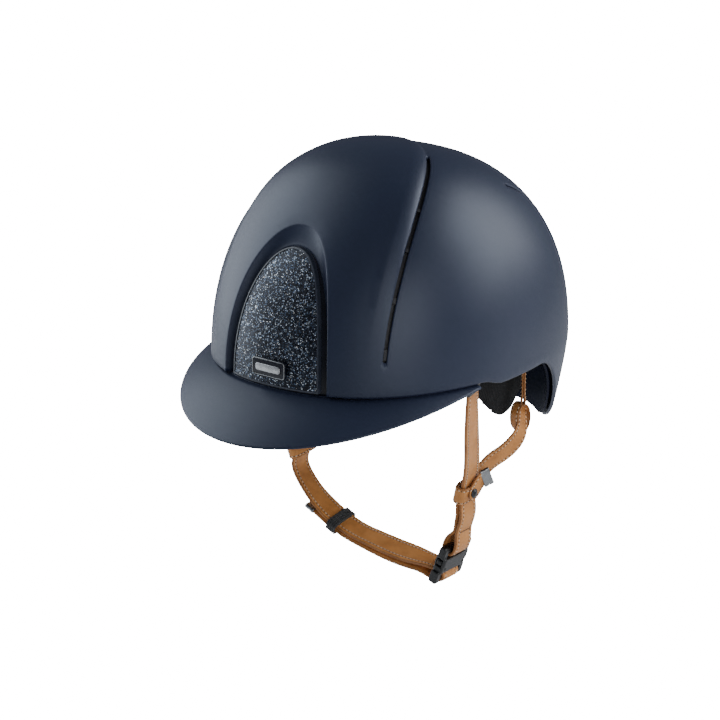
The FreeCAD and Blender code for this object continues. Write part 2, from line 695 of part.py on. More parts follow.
def prong(sign):
    """One release arm on its pivot, with the finger pad at the side of the socket."""
    arm = centred_box(3.4, 2.0, 6.6, 0, sign * PRONG_Y, 0.7)
    pad = rounded_box(3.8, 3.6, 4.0, V(0, sign * (PRONG_Y + 2.1), 1.6), 1.1, edges="x")
    pivot = cylinder(1.1, 7.0, V(-3.5, sign * PRONG_Y, PRONG_PIVOT_Z), V(1, 0, 0))
    return arm.fuse(pad).fuse(pivot)


def strap_turn(reach, leg):
    """Turn of a strap round a bar along Y at the origin, both legs standing up along Z."""
    half = 0.5 * STRAP_THICKNESS
    outer = cylinder(reach + half, STRAP_WIDTH, V(0, -0.5 * STRAP_WIDTH, 0), V(0, 1, 0))
    legs = centred_box(2 * (reach + half), STRAP_WIDTH, leg, 0, 0, 0.5 * leg)
    gap = centred_box(2 * (reach - half), STRAP_WIDTH + 2.0, leg + 2.0, 0, 0, 0.5 * leg + 1.0)
    core = cylinder(reach - half, STRAP_WIDTH + 2.0, V(0, -0.5 * STRAP_WIDTH - 1.0, 0), V(0, 1, 0))
    return outer.fuse(legs).cut(gap).cut(core)


def chin_parts():
    PARTS["buckle_socket"] = to_buckle(socket())
    PARTS["buckle_plug"] = to_buckle(plug())
    PARTS["buckle_prong_front"] = to_buckle(prong(-1.0))
    PARTS["buckle_prong_rear"] = to_buckle(prong(1.0))
    fold = strap_turn(4.4, 4.6)
    fold.translate(V(0, 0, BAR_OFFSET))
    PARTS["buckle_strap_fold"] = to_buckle(fold)
    straight = V(0, 1, 0)
    outer_end, inner_end = in_buckle(4.4, 0, BAR_OFFSET + 5.3), in_buckle(-4.4, 0, BAR_OFFSET + 5.3)
    outer_path = [V(73.3, LOOP_Y, LOWER_STRAP_Z), V(71.4, LOOP_Y, -110.5), V(69.3, LOOP_Y, -117.0), outer_end]
    inner_path = [
        V(69.0, LOOP_Y, LOWER_STRAP_Z), V(68.0, LOOP_Y, -110.5), V(66.6, LOOP_Y, -116.0),
        V(62.6, LOOP_Y, -119.6), inner_end,
    ]
    PARTS["buckle_strap_outer"] = strap(outer_path, [straight] * 4, samples=14)
    PARTS["buckle_strap_inner"] = strap(inner_path, [straight] * 5, samples=18)

    chin_path = [
        V(-71.6, LOOP_Y, LOWER_STRAP_Z), V(-67.6, LOOP_Y, -110.8), V(-60.6, LOOP_Y, -118.6),
        *[keeper_arc(KEEPER_RADIUS, angle) for angle in (-12.0, -4.0, 4.0, 12.0)],
        V(-6.0, LOOP_Y, -141.9), V(12.0, LOOP_Y, -144.2), V(28.0, LOOP_Y, -145.4), V(37.0, LOOP_Y, -145.8),
    ]
    PARTS["chin_strap"] = strap(chin_path, [straight] * len(chin_path), samples=44)
    tail_path = [
        V(-60.0, LOOP_Y, -126.9), V(-51.5, LOOP_Y, -131.0),
        *[keeper_arc(KEEPER_RADIUS + LAYER_STEP, angle) for angle in (-4.0, 4.0, 12.0)],
        V(-5.0, LOOP_Y, -145.9), V(12.0, LOOP_Y, -148.4), V(28.0, LOOP_Y, -149.8), V(38.0, LOOP_Y, -150.3),
    ]
    PARTS["chin_strap_tail"] = strap(tail_path, [straight] * len(tail_path), samples=40)
    outward = tail_path[0] - tail_path[1]
    outward.normalize()
    clip = clip_round(tail_path[0], outward, straight, 8.0, STRAP_WIDTH, STRAP_THICKNESS, 0.7, 7.0)
    PARTS["chin_strap_tip"] = clip.cut(PARTS["chin_strap_tail"])
    turn = strap_turn(3.6, 8.0)
    turn.rotate(V(0, 0, 0), V(0, 1, 0), -82.0)
    turn.translate(in_buckle(0, 0, -BAR_OFFSET))
    PARTS["chin_strap_fold"] = turn
    along = keeper_arc(KEEPER_RADIUS, 0.5) - keeper_arc(KEEPER_RADIUS, -0.5)
    along.normalize()
    centre = keeper_arc(KEEPER_RADIUS + 0.5 * LAYER_STEP, 0.0)
    PARTS["strap_keeper"] = ring_band(centre, 10.6, 4.2, straight, straight.cross(along), 8.6, 1.2, power=5.0)


def keeper_arc(radius, angle):
    """Point of the chin strap's round stretch under the keeper, by angle from the keeper's middle."""
    turn = math.radians(KEEPER_BEARING + angle)
    return V(KEEPER_CENTRE_X + radius * math.sin(turn), LOOP_Y, KEEPER_CENTRE_Z - radius * math.cos(turn))


# ---------------------------------------------------------------- build
def main():
    shell_parts()
    front_parts()
    visor_parts()
    foam_liner()
    comfort_parts()
    PARTS["nape_guard"] = nape_guard()
    front_strap_and_anchor()
    rear_strap_and_anchor()
    junction()
    chin_parts()
    os.makedirs("parts", exist_ok=True)
    for name in sorted(PARTS):
        shape = PARTS[name]
        if not shape.Solids or not shape.isValid():
            print("CHECK", name, "solids", len(shape.Solids), "valid", shape.isValid())
        shape.exportStep("parts/" + name + ".step")


main()
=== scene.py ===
"""Looks of the riding helmet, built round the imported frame.

Row frame, in metres: X to the wearer's left, Y to the back, Z up. Shapes are worked out in millimetres
and turned into metres when a mesh is made.
"""

import math

import bmesh
import bpy
import numpy as np
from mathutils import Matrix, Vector, geometry, kdtree


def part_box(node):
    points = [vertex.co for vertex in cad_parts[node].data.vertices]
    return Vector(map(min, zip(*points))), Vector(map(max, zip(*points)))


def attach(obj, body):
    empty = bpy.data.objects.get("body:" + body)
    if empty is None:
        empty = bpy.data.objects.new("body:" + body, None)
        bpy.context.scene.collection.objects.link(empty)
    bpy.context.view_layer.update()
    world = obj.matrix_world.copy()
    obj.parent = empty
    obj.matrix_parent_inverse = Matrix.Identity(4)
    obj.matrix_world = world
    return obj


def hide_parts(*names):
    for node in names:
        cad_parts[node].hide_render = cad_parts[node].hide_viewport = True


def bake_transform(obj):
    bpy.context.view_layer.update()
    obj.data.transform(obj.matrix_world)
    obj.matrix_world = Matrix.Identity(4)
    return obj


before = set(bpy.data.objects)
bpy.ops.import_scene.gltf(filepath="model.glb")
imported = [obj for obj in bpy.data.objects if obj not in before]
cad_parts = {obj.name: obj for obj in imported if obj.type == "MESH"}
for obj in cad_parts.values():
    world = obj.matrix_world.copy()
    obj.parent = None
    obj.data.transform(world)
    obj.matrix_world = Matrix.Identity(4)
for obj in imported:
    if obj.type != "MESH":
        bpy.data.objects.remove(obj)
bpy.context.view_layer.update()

MM = 0.001
UPWARDS = np.array((0.0, 0.0, 1.0))


def box_mm(node):
    low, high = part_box(node)
    return np.array(low) / MM, np.array(high) / MM


# ---------------------------------------------------------------- sizes, mm and degrees
SHELL_LOW, SHELL_HIGH = box_mm("outer_shell")
FOAM_TOP = box_mm("foam_liner")[1][2]
FOAM_DEPTH = 4.8             # from the shell's outside to the foam
HALF_WIDTH = SHELL_HIGH[0]
REAR_LENGTH = SHELL_HIGH[1]
FRONT_LENGTH = 124.0
CROWN_HEIGHT = FOAM_TOP + FOAM_DEPTH
PLAN_POWER = 2.14            # superellipse powers: level section, then side, front and rear profile
SIDE_POWER = 2.49
FRONT_POWER = 2.05
REAR_POWER = 2.0
SKIRT_TAPER = 0.07
SHELL_THICKNESS = 2.5
RIM_FRONT_Z = 3.0
RIM_SIDE_Z = -1.5
RIM_NAPE_Z = SHELL_LOW[2]

LIP_HALF_WIDTH = 70.5        # plan outline of the raised front cover
LIP_CENTRE_Y = -97.0
LIP_LENGTH = 117.0
LIP_POWER = 1.71
LIP_RAISE = 4.4
LIP_RISE_LENGTH = 62.0
SLOT_NEAR = 0.3              # slot's edges, measured out from the cover's edge
SLOT_FAR = 2.9
SLOT_START_Y = -95.0
SLOT_END_Y = 2.0

RECESS_HALF_WIDTH = 42.0
RECESS_TOP_Z = 102.4
SCOOP_HALF_WIDTH = 41.0      # inner end of the scooped wall round the recess
SCOOP_TOP_Z = 92.5
SCOOP_DEPTH = 5.45
ARCH_POWER_UP = 2.3
ARCH_POWER_OUT = 2.15

STRAP_WIDTH = 18.0
STRAP_THICKNESS = 2.2
LOOP_Y = -2.0


# ---------------------------------------------------------------- dome geometry
def smooth(x):
    x = np.clip(x, 0.0, 1.0)
    return x * x * (3.0 - 2.0 * x)


def draw_in(z, height, power):
    """Share of the full half width that is left at level z."""
    z = np.asarray(z, float)
    up = np.maximum(1.0 - (np.maximum(z, 0.0) / height) ** power, 0.0) ** (1.0 / power)
    down = 1.0 - SKIRT_TAPER * (np.maximum(-z, 0.0) / 50.0) ** 1.3
    return np.where(z >= 0.0, up, down)


def dome(bearing, z, offset=0.0):
    """Points on the shell's outer surface, moved out by offset. Bearing 0 is the left ear, 90 the back."""
    bearing, z, offset = np.broadcast_arrays(
        np.asarray(bearing, float), np.asarray(z, float), np.asarray(offset, float))
    height = CROWN_HEIGHT + offset
    c, s = np.cos(np.radians(bearing)), np.sin(np.radians(bearing))
    a = np.maximum((HALF_WIDTH + offset) * draw_in(z, height, SIDE_POWER), 1e-6)
    front = (FRONT_LENGTH + offset) * draw_in(z, height, FRONT_POWER)
    rear = (REAR_LENGTH + offset) * draw_in(z, height, REAR_POWER)
    b = np.maximum(np.where(s < 0.0, front, rear), 1e-6)
    r = ((np.abs(c) / a) ** PLAN_POWER + (np.abs(s) / b) ** PLAN_POWER) ** (-1.0 / PLAN_POWER)
    return np.stack([r * c, r * s, z], axis=-1)


def outside(p):
    """Positive where points lie outside the dome."""
    x, y, z = p[..., 0], p[..., 1], p[..., 2]
    a = np.maximum(HALF_WIDTH * draw_in(z, CROWN_HEIGHT, SIDE_POWER), 1e-6)
    front = FRONT_LENGTH * draw_in(z, CROWN_HEIGHT, FRONT_POWER)
    rear = REAR_LENGTH * draw_in(z, CROWN_HEIGHT, REAR_POWER)
    b = np.maximum(np.where(y < 0.0, front, rear), 1e-6)
    value = (np.abs(x) / a) ** PLAN_POWER + (np.abs(y) / b) ** PLAN_POWER - 1.0
    return np.where(z >= CROWN_HEIGHT, 1.0, value)


def dome_normal(p):
    """Outward normals of the dome near points p."""
    step = 0.05
    grad = np.stack([
        outside(p + step * axis) - outside(p - step * axis) for axis in np.eye(3)
    ], axis=-1)
    return grad / np.linalg.norm(grad, axis=-1, keepdims=True)


def on_dome(p, direction, reach=12.0):
    """Moves points along direction onto the dome."""
    low, high = np.full(p.shape[:-1], -reach), np.full(p.shape[:-1], reach)
    for _ in range(40):
        middle = 0.5 * (low + high)
        out = outside(p + direction * middle[..., None]) > 0.0
        high = np.where(out, middle, high)
        low = np.where(out, low, middle)
    return p + direction * low[..., None]


def above(x, y):
    """Points on the dome over plan positions."""
    x, y = np.broadcast_arrays(np.asarray(x, float), np.asarray(y, float))
    low, high = np.zeros(x.shape), np.full(x.shape, CROWN_HEIGHT)
    for _ in range(44):
        middle = 0.5 * (low + high)
        out = outside(np.stack([x, y, middle], axis=-1)) > 0.0
        high = np.where(out, middle, high)
        low = np.where(out, low, middle)
    return np.stack([x, y, low], axis=-1)


def folded(bearing):
    """The same place on the left half, from -90 at the front to 90 at the back."""
    b = (np.asarray(bearing, float) + 180.0) % 360.0 - 180.0
    b = np.where(b > 90.0, 180.0 - b, b)
    return np.where(b < -90.0, -180.0 - b, b)


def rim_z(bearing):
    b = folded(bearing)
    front = RIM_FRONT_Z + (RIM_SIDE_Z - RIM_FRONT_Z) * smooth((b + 17.0) / 11.0)
    skirt = RIM_SIDE_Z + (RIM_NAPE_Z - RIM_SIDE_Z) * smooth((b - 18.0) / 46.0)
    return np.where(b < 18.0, front, skirt)


# ---------------------------------------------------------------- mesh building
class Build:
    """Collects points and faces of one piece, in millimetres."""

    def __init__(self):
        self.points = []
        self.faces = []
        self.index = []

    def add(self, points, faces, material=0):
        base = sum(len(p) for p in self.points)
        self.points.append(np.asarray(points, float).reshape(-1, 3))
        self.faces += [tuple(base + i for i in face) for face in faces]
        if isinstance(material, int):
            material = [material] * len(faces)
        self.index += list(material)

    def make(self, name, materials):
        mesh = bpy.data.meshes.new(name)
        mesh.from_pydata((np.concatenate(self.points) * MM).tolist(), [], self.faces)
        for material in materials:
            mesh.materials.append(material)
        mesh.polygons.foreach_set("material_index", np.array(self.index, np.int32))
        mesh.polygons.foreach_set("use_smooth", np.ones(len(mesh.polygons), bool))
        work = bmesh.new()
        work.from_mesh(mesh)
        bmesh.ops.recalc_face_normals(work, faces=work.faces)
        work.to_mesh(mesh)
        work.free()
        mesh.update()
        piece = bpy.data.objects.new(name, mesh)
        bpy.context.scene.collection.objects.link(piece)
        return piece


def grid_faces(rows, columns, wrap_rows=False, wrap_columns=False):
    faces = []
    for i in range(rows if wrap_rows else rows - 1):
        for j in range(columns if wrap_columns else columns - 1):
            k, l = (i + 1) % rows, (j + 1) % columns
            faces.append((i * columns + j, i * columns + l, k * columns + l, k * columns + j))
    return faces


def flat_caps(rows, columns):
    """Faces that close both ends of a flat closed sweep, in quads from one side of it to the other."""
    faces = []
    for base in (0, (rows - 1) * columns):
        for j in range(columns // 2 - 1):
            k = columns - 1 - j
            faces.append((base + j, base + j + 1, base + k - 1, base + k))
    return faces


def unit(v):
    v = np.asarray(v, float)
    return v / np.maximum(np.linalg.norm(v, axis=-1, keepdims=True), 1e-12)


def smooth_path(points, step=1.2, closed=False):
    """A smooth curve through the points. Columns after the third are carried along, as widths are."""
    data = np.asarray(points, float)
    if closed:
        data = np.concatenate([data[-3:], data, data[:3]])
    gaps = np.linalg.norm(np.diff(data[:, :3], axis=0), axis=1)
    s = np.concatenate([[0.0], np.cumsum(gaps)])
    count = len(s)
    system, right = np.eye(count), np.zeros((count, data.shape[1]))
    for i in range(1, count - 1):
        h0, h1 = s[i] - s[i - 1], s[i + 1] - s[i]
        system[i, i - 1:i + 2] = (h0, 2.0 * (h0 + h1), h1)
        right[i] = 6.0 * ((data[i + 1] - data[i]) / h1 - (data[i] - data[i - 1]) / h0)
    bend = np.linalg.solve(system, right)
    first, last = (s[3], s[-3]) if closed else (s[0], s[-1])
    t = np.linspace(first, last, 1200)
    k = np.clip(np.searchsorted(s, t, side="right") - 1, 0, count - 2)
    h = (s[k + 1] - s[k])[:, None]
    a, b = (s[k + 1] - t)[:, None] / h, (t - s[k])[:, None] / h
    sag = ((a ** 3 - a) * bend[k] + (b ** 3 - b) * bend[k + 1]) * h * h / 6.0
    dense = a * data[k] + b * data[k + 1] + sag
    run = np.concatenate([[0.0], np.cumsum(np.linalg.norm(np.diff(dense[:, :3], axis=0), axis=1))])
    number = max(int(round(run[-1] / step)), 4)
    at = np.linspace(0.0, run[-1], number + 1)
    out = np.stack([np.interp(at, run, dense[:, c]) for c in range(data.shape[1])], axis=1)
    return out[:-1] if closed else out


def tangents(path, closed=False):
    if closed:
        return unit(np.roll(path, -1, axis=0) - np.roll(path, 1, axis=0))
    return unit(np.gradient(path, axis=0))


def leather_section(width, thickness, inset=3.0, groove=0.16, crown=0.12, across=20):
    """Closed outline of a strap: crowned faces with a groove along each stitch line, and round edges.
    Returns the points and, for each side of the outline, whether it belongs to a cut edge."""
    half, radius = 0.5 * width, 0.42 * thickness
    u = np.linspace(-half + radius, half - radius, across)
    v = 0.5 * thickness - crown * (u / half) ** 2
    for line in (inset - half, half - inset):
        v = v - groove * np.exp(-((u - line) / 0.55) ** 2)
    turn = np.radians(np.linspace(60.0, -60.0, 5))
    tip = 0.5 * thickness - crown
    edge_u, edge_v = half - radius + radius * np.cos(turn), tip * np.sin(turn) / math.sin(math.radians(75.0))
    points = np.concatenate([
        np.stack([u, v], 1), np.stack([edge_u, edge_v], 1),
        np.stack([u[::-1], -v[::-1]], 1), np.stack([-edge_u, -edge_v], 1)])
    is_edge = [False] * (across - 1) + [True] * 6 + [False] * (across - 1) + [True] * 6
    return points, is_edge


def sweep(build, path, across, widths, section, is_edge, closed=False, materials=(0, 1)):
    """Runs a closed outline along a path. across is the width direction, widths scales the width."""
    along = tangents(path, closed)
    across = unit(across - along * np.sum(across * along, axis=1, keepdims=True))
    normal = np.cross(along, across)
    u = section[None, :, 0, None] * np.asarray(widths, float)[:, None, None]
    points = path[:, None, :] + across[:, None, :] * u + normal[:, None, :] * section[None, :, 1, None]
    rows, columns = points.shape[:2]
    faces = grid_faces(rows, columns, wrap_rows=closed, wrap_columns=True)
    index = [materials[1] if is_edge[f % columns] else materials[0] for f in range(len(faces))]
    if not closed:
        caps = flat_caps(rows, columns)
        faces += caps
        index += [materials[1]] * len(caps)
    build.add(points, faces, index)
    return along, across, normal


def bead(centre, along, across, normal, length, radius, flat=1.0, rings=4, sides=6):
    """Small capsule of thread."""
    turn = 2.0 * np.pi * np.arange(sides) / sides
    t = np.sin(np.linspace(-1.0, 1.0, rings + 1) * 0.5 * np.pi)
    points = []
    for x in t[1:-1]:
        size = radius * math.sqrt(1.0 - x ** 4)
        ring = centre + along * (0.5 * length * x) + size * (
            np.cos(turn)[:, None] * across + flat * np.sin(turn)[:, None] * normal)
        points.append(ring)
    points = np.concatenate(points)
    count = len(points)
    ends = np.stack([centre - along * 0.5 * length, centre + along * 0.5 * length])
    faces = grid_faces(rings - 1, sides, wrap_columns=True)
    for j in range(sides):
        k = (j + 1) % sides
        faces.append((count, k, j))
        faces.append((count + 1, count - sides + j, count - sides + k))
    return np.concatenate([points, ends]), faces


def stitch(build, path, frame_dirs, u, v, material=2, hole_shade=3, pitch=2.8, skip=2.0, end_skip=2.0):
    """A row of thread stitches, with a dark bead between each two as the painted shade of a needle hole, at u
    across and v up.
    """
    along, across, normal = frame_dirs
    run = np.concatenate([[0.0], np.cumsum(np.linalg.norm(np.diff(path, axis=0), axis=1))])
    stops = np.arange(skip, run[-1] - end_skip, pitch)
    u = np.broadcast_to(np.asarray(u, float), run.shape)
    side = math.copysign(1.0, v)
    for s in stops:
        def at(x, columns):
            return np.array([np.interp(x, run, columns[:, c]) for c in range(3)])
        # The second bead is painted shade: a dark bead where the needle hole lies in shadow.
        for where, length, radius, kind, lift in (
                (s, 0.56 * pitch, 0.40, material, 0.06), (s + 0.5 * pitch, 1.15, 0.46, hole_shade, -0.12)):
            t, a, n = unit(at(where, along)), unit(at(where, across)), unit(at(where, normal))
            centre = at(where, path) + a * np.interp(where, run, u) + n * (v + side * lift)
            build.add(*bead(centre, t, a, n, length, radius, flat=0.8), material=kind)


# ---------------------------------------------------------------- materials
class Nodes:
    """A node material with the principled shader, and short calls for the nodes that its look needs."""

    def __init__(self, name, base, roughness, metallic=0.0, **shader):
        self.material = bpy.data.materials.new(name)
        self.material.use_nodes = True
        self.tree = self.material.node_tree
        self.shader = self.tree.nodes["Principled BSDF"]
        self.material.diffuse_color = (*base, 1.0)
        for socket, value in (("Base Color", (*base, 1.0)), ("Roughness", roughness), ("Metallic", metallic)):
            self.shader.inputs[socket].default_value = value
        for socket, value in shader.items():
            self.shader.inputs[socket.replace("_", " ")].default_value = value
        self.where = self.tree.nodes.new("ShaderNodeTexCoord").outputs["Object"]

    def link(self, source, target):
        self.tree.links.new(source, target)
        return source

    def stretched(self, scale):
        node = self.tree.nodes.new("ShaderNodeMapping")
        node.inputs["Scale"].default_value = scale
        self.link(self.where, node.inputs["Vector"])
        return node.outputs["Vector"]

    def noise(self, size, detail=3.0, rough=0.5, where=None):
        """Noise whose features are about size millimetres."""
        node = self.tree.nodes.new("ShaderNodeTexNoise")
        node.inputs["Scale"].default_value = 1.0 / (size * MM)
        node.inputs["Detail"].default_value = detail
        node.inputs["Roughness"].default_value = rough
        self.link(where or self.where, node.inputs["Vector"])
        return node.outputs["Fac"]

    def cells(self, size, output="Distance", feature="F1", where=None):
        node = self.tree.nodes.new("ShaderNodeTexVoronoi")
        node.feature = feature
        node.inputs["Scale"].default_value = 1.0 / (size * MM)
        self.link(where or self.where, node.inputs["Vector"])
        return node.outputs[output]

    def bands(self, size, direction, distortion=0.0, where=None):
        """Waves whose crests are size millimetres apart."""
        node = self.tree.nodes.new("ShaderNodeTexWave")
        node.bands_direction = direction
        node.inputs["Scale"].default_value = math.pi / (10.0 * size * MM)
        node.inputs["Distortion"].default_value = distortion
        node.inputs["Detail"].default_value = 1.0
        self.link(where or self.where, node.inputs["Vector"])
        return node.outputs["Fac"]

    def math(self, operation, a, b=None):
        node = self.tree.nodes.new("ShaderNodeMath")
        node.operation = operation
        for socket, value in zip(node.inputs, (a, b)):
            if isinstance(value, (int, float)):
                socket.default_value = value
            elif value is not None:
                self.link(value, socket)
        return node.outputs[0]

    def remap(self, value, low, high, to_low=0.0, to_high=1.0):
        node = self.tree.nodes.new("ShaderNodeMapRange")
        self.link(value, node.inputs["Value"])
        for socket, number in zip(("From Min", "From Max", "To Min", "To Max"), (low, high, to_low, to_high)):
            node.inputs[socket].default_value = number
        return node.outputs["Result"]

    def edges(self, low=0.52, high=0.62):
        """Convex edges, from the mesh's own shape: the mask for a painted highlight along them."""
        point = self.tree.nodes.new("ShaderNodeNewGeometry").outputs["Pointiness"]
        return self.remap(point, low, high)

    def colour(self, value, stops):
        """Colours along value: stops are (place, (r, g, b))."""
        node = self.tree.nodes.new("ShaderNodeValToRGB")
        ramp = node.color_ramp
        while len(ramp.elements) < len(stops):
            ramp.elements.new(0.5)
        for element, (place, rgb) in zip(ramp.elements, stops):
            element.position = place
            element.color = (*rgb, 1.0)
        self.link(value, node.inputs["Fac"])
        return node.outputs["Color"]

    def mix(self, amount, a, b, blend="MIX"):
        node = self.tree.nodes.new("ShaderNodeMix")
        node.data_type = "RGBA"
        node.blend_type = blend
        sockets = {s.identifier: s for s in node.inputs}
        for key, value in (("Factor_Float", amount), ("A_Color", a), ("B_Color", b)):
            if isinstance(value, tuple):
                sockets[key].default_value = (*value, 1.0)
            elif isinstance(value, (int, float)):
                sockets[key].default_value = value
            else:
                self.link(value, sockets[key])
        return next(s for s in node.outputs if s.identifier == "Result_Color")

    def base(self, source):
        self.link(source, self.shader.inputs["Base Color"])

    def rough(self, source):
        self.link(source, self.shader.inputs["Roughness"])

    def bump(self, *layers):
        """Height layers, as (value, millimetres); each adds to the one before."""
        normal = None
        for value, height in layers:
            node = self.tree.nodes.new("ShaderNodeBump")
            node.inputs["Strength"].default_value = 1.0
            node.inputs["Distance"].default_value = height * MM
            self.link(value, node.inputs["Height"])
            if normal is not None:
                self.link(normal, node.inputs["Normal"])
            normal = node.outputs["Normal"]
        self.link(normal, self.shader.inputs["Normal"])
        return normal


def painted_shell(name, dark, light, roughness, specular=0.5):
    """Matt lacquer: soft tone drift, faint orange peel, and a painted highlight along convex edges."""
    m = Nodes(name, dark, roughness, Specular_Tint=(0.80, 0.88, 1.0, 1.0), Specular_IOR_Level=specular)
    drift = m.colour(m.noise(60.0, 2.0), [(0.3, dark), (0.7, light)])
    # Painted highlight: convex edges are made lighter in colour.
    painted_edge_highlight = m.mix(m.math("MULTIPLY", m.edges(0.53, 0.62), 0.35), drift, tuple(2.6 * c + 0.01 for c in light))
    m.base(painted_edge_highlight)
    m.rough(m.remap(m.noise(1.2, 3.0, 0.7), 0.3, 0.7, roughness - 0.03, roughness + 0.04))
    m.bump((m.noise(0.5, 2.0), 0.004), (m.noise(3.0, 1.0), 0.006))
    return m.material


def gloss_bezel():
    m = Nodes("bezel_gloss", (0.006, 0.007, 0.014), 0.22,
              Coat_Weight=0.2, Coat_Roughness=0.08, Specular_IOR_Level=0.25)
    m.base(m.colour(m.noise(9.0), [(0.3, (0.004, 0.005, 0.011)), (0.7, (0.009, 0.011, 0.020))]))
    m.rough(m.remap(m.noise(1.5, 4.0, 0.7), 0.35, 0.75, 0.18, 0.34))
    m.bump((m.noise(6.0, 1.0), 0.01))
    return m.material


def glitter():
    """Flakes of many tilts and tones in clear lacquer; the brightest, near-white flake tones are painted
    glints.
    """
    m = Nodes("panel_glitter", (0.03, 0.04, 0.06), 0.4, 0.55, Coat_Weight=0.08, Coat_Roughness=0.3)
    flake = m.cells(0.58, "Color")
    split = m.tree.nodes.new("ShaderNodeSeparateColor")
    m.link(flake, split.inputs[0])
    red, green, blue = split.outputs[0], split.outputs[1], split.outputs[2]
    # Painted glints: the top of this ramp runs to near white for flakes that catch the light; the lower tones
    # are the flakes' own dark colour.
    tone = m.colour(red, [
        (0.0, (0.001, 0.002, 0.006)), (0.54, (0.004, 0.006, 0.014)), (0.76, (0.016, 0.024, 0.042)),
        (0.90, (0.11, 0.16, 0.24)), (1.0, (0.95, 1.0, 1.0))])
    tint = m.colour(green, [
        (0.0, (0.45, 0.65, 1.0)), (0.5, (0.8, 0.9, 1.0)), (0.9, (1.0, 0.95, 0.9)), (1.0, (1.0, 0.7, 0.5))])
    m.base(m.mix(0.55, tone, tint, "MULTIPLY"))
    m.rough(m.remap(blue, 0.0, 1.0, 0.14, 0.5))
    m.bump((m.math("MULTIPLY", red, m.cells(0.58)), 0.10), (m.cells(0.3, "Distance"), 0.03))
    return m.material


def metal(name, base, roughness, brushed=(1.0, 1.0, 12.0)):
    m = Nodes(name, base, roughness, 1.0)
    lines = m.noise(2.0, 4.0, 0.7, where=m.stretched(brushed))
    m.base(m.colour(m.noise(4.0, 4.0), [(0.3, tuple(0.75 * c for c in base)), (0.7, base)]))
    m.rough(m.remap(lines, 0.3, 0.7, roughness - 0.08, roughness + 0.14))
    m.bump((lines, 0.012))
    return m.material


def leather(name, base, deep, roughness=0.46):
    """Smooth calf leather: fine pores, small creases and uneven dye."""
    m = Nodes(name, base, roughness, Sheen_Weight=0.02, Sheen_Roughness=0.5, Specular_IOR_Level=0.26)
    pale = tuple(min(1.12 * c, 1.0) for c in base)
    dye = m.colour(m.noise(14.0, 3.0, 0.6), [(0.28, deep), (0.52, base), (0.8, pale)])
    pores = m.cells(0.75, "Distance")
    fine = m.remap(pores, 0.0, 0.5, 0.84, 1.04)
    mottled = m.mix(1.0, dye, m.colour(fine, [(0.0, (0.0, 0.0, 0.0)), (1.0, (1.0, 1.0, 1.0))]), "MULTIPLY")
    m.base(mottled)
    creases = m.noise(2.2, 4.0, 0.65, where=m.stretched((1.0, 0.45, 1.0)))
    m.rough(m.remap(creases, 0.3, 0.7, roughness - 0.07, roughness + 0.12))
    m.bump((pores, 0.05), (creases, 0.10), (m.noise(0.35, 2.0), 0.02))
    return m.material


def knit(name, base, light, rib, direction):
    """Ribbed knit: ribs one way, loops across them."""
    m = Nodes(name, base, 0.86, Sheen_Weight=0.02, Sheen_Roughness=0.6, Specular_IOR_Level=0.14)
    ribs = m.bands(rib, direction, 1.2)
    loops = m.bands(0.45 * rib, "DIAGONAL", 3.0)
    cloth = m.math("ADD", m.math("MULTIPLY", ribs, 0.7), m.math("MULTIPLY", loops, 0.3))
    m.base(m.mix(m.noise(8.0), m.colour(cloth, [(0.15, base), (0.85, light)]), base))
    m.rough(m.remap(m.noise(1.0), 0.3, 0.7, 0.78, 0.95))
    m.bump((cloth, 0.30), (m.noise(0.3, 3.0, 0.8), 0.12))
    return m.material


def woven(name, base, light, pitch, slope=0.35):
    """Plain weave of flat yarns: crossing bands."""
    m = Nodes(name, base, 0.8, Sheen_Weight=0.2, Sheen_Roughness=0.5)
    warp, weft = m.bands(pitch, "Z", 0.4), m.bands(pitch, "Y", 0.4)
    cloth = m.math("MAXIMUM", warp, m.math("MULTIPLY", weft, 0.9))
    m.base(m.mix(m.noise(3.0), m.colour(cloth, [(0.2, base), (0.9, light)]), light))
    m.rough(m.remap(m.noise(0.8), 0.3, 0.7, 0.7, 0.9))
    m.bump((cloth, slope), (m.noise(0.25, 2.0), 0.05))
    return m.material


def moulded(name, base, light, roughness=0.38):
    """Satin moulded plastic: fine spark-eroded grain, and a painted highlight along convex edges."""
    m = Nodes(name, base, roughness, Specular_IOR_Level=0.5)
    tone = m.colour(m.noise(5.0), [(0.3, base), (0.7, light)])
    # Painted highlight: convex edges are made lighter in colour.
    m.base(m.mix(m.math("MULTIPLY", m.edges(0.52, 0.66), 0.5), tone, tuple(3.0 * c + 0.01 for c in light)))
    m.rough(m.remap(m.noise(0.9, 3.0), 0.3, 0.7, roughness - 0.08, roughness + 0.08))
    m.bump((m.noise(0.25, 2.0, 0.6), 0.02), (m.noise(2.5, 1.0), 0.02))
    return m.material


def bead_foam():
    m = Nodes("foam", (0.018, 0.018, 0.020), 0.8)
    rim = m.cells(3.2, "Distance", "DISTANCE_TO_EDGE")
    m.base(m.colour(m.cells(3.2, "Color"), [(0.0, (0.014, 0.014, 0.016)), (1.0, (0.030, 0.030, 0.034))]))
    m.rough(m.remap(rim, 0.0, 0.2, 0.95, 0.7))
    m.bump((m.remap(rim, 0.0, 0.16), 0.35), (m.noise(0.6, 3.0), 0.05))
    return m.material


def fuzzy(name, base, light):
    m = Nodes(name, base, 0.95, Sheen_Weight=0.4, Sheen_Roughness=0.5)
    hooks = m.cells(0.8, "Distance")
    m.base(m.colour(hooks, [(0.0, light), (0.7, base)]))
    m.rough(m.remap(m.noise(0.7), 0.3, 0.7, 0.85, 1.0))
    m.bump((hooks, 0.4), (m.noise(0.4, 4.0, 0.8), 0.2))
    return m.material


def thread(name, base):
    m = Nodes(name, base, 0.6, Sheen_Weight=0.2, Sheen_Roughness=0.4)
    twist = m.bands(0.35, "DIAGONAL", 1.0)
    m.base(m.colour(twist, [(0.1, tuple(0.6 * c for c in base)), (0.9, base)]))
    m.rough(m.remap(twist, 0.0, 1.0, 0.5, 0.75))
    m.bump((twist, 0.06))
    return m.material


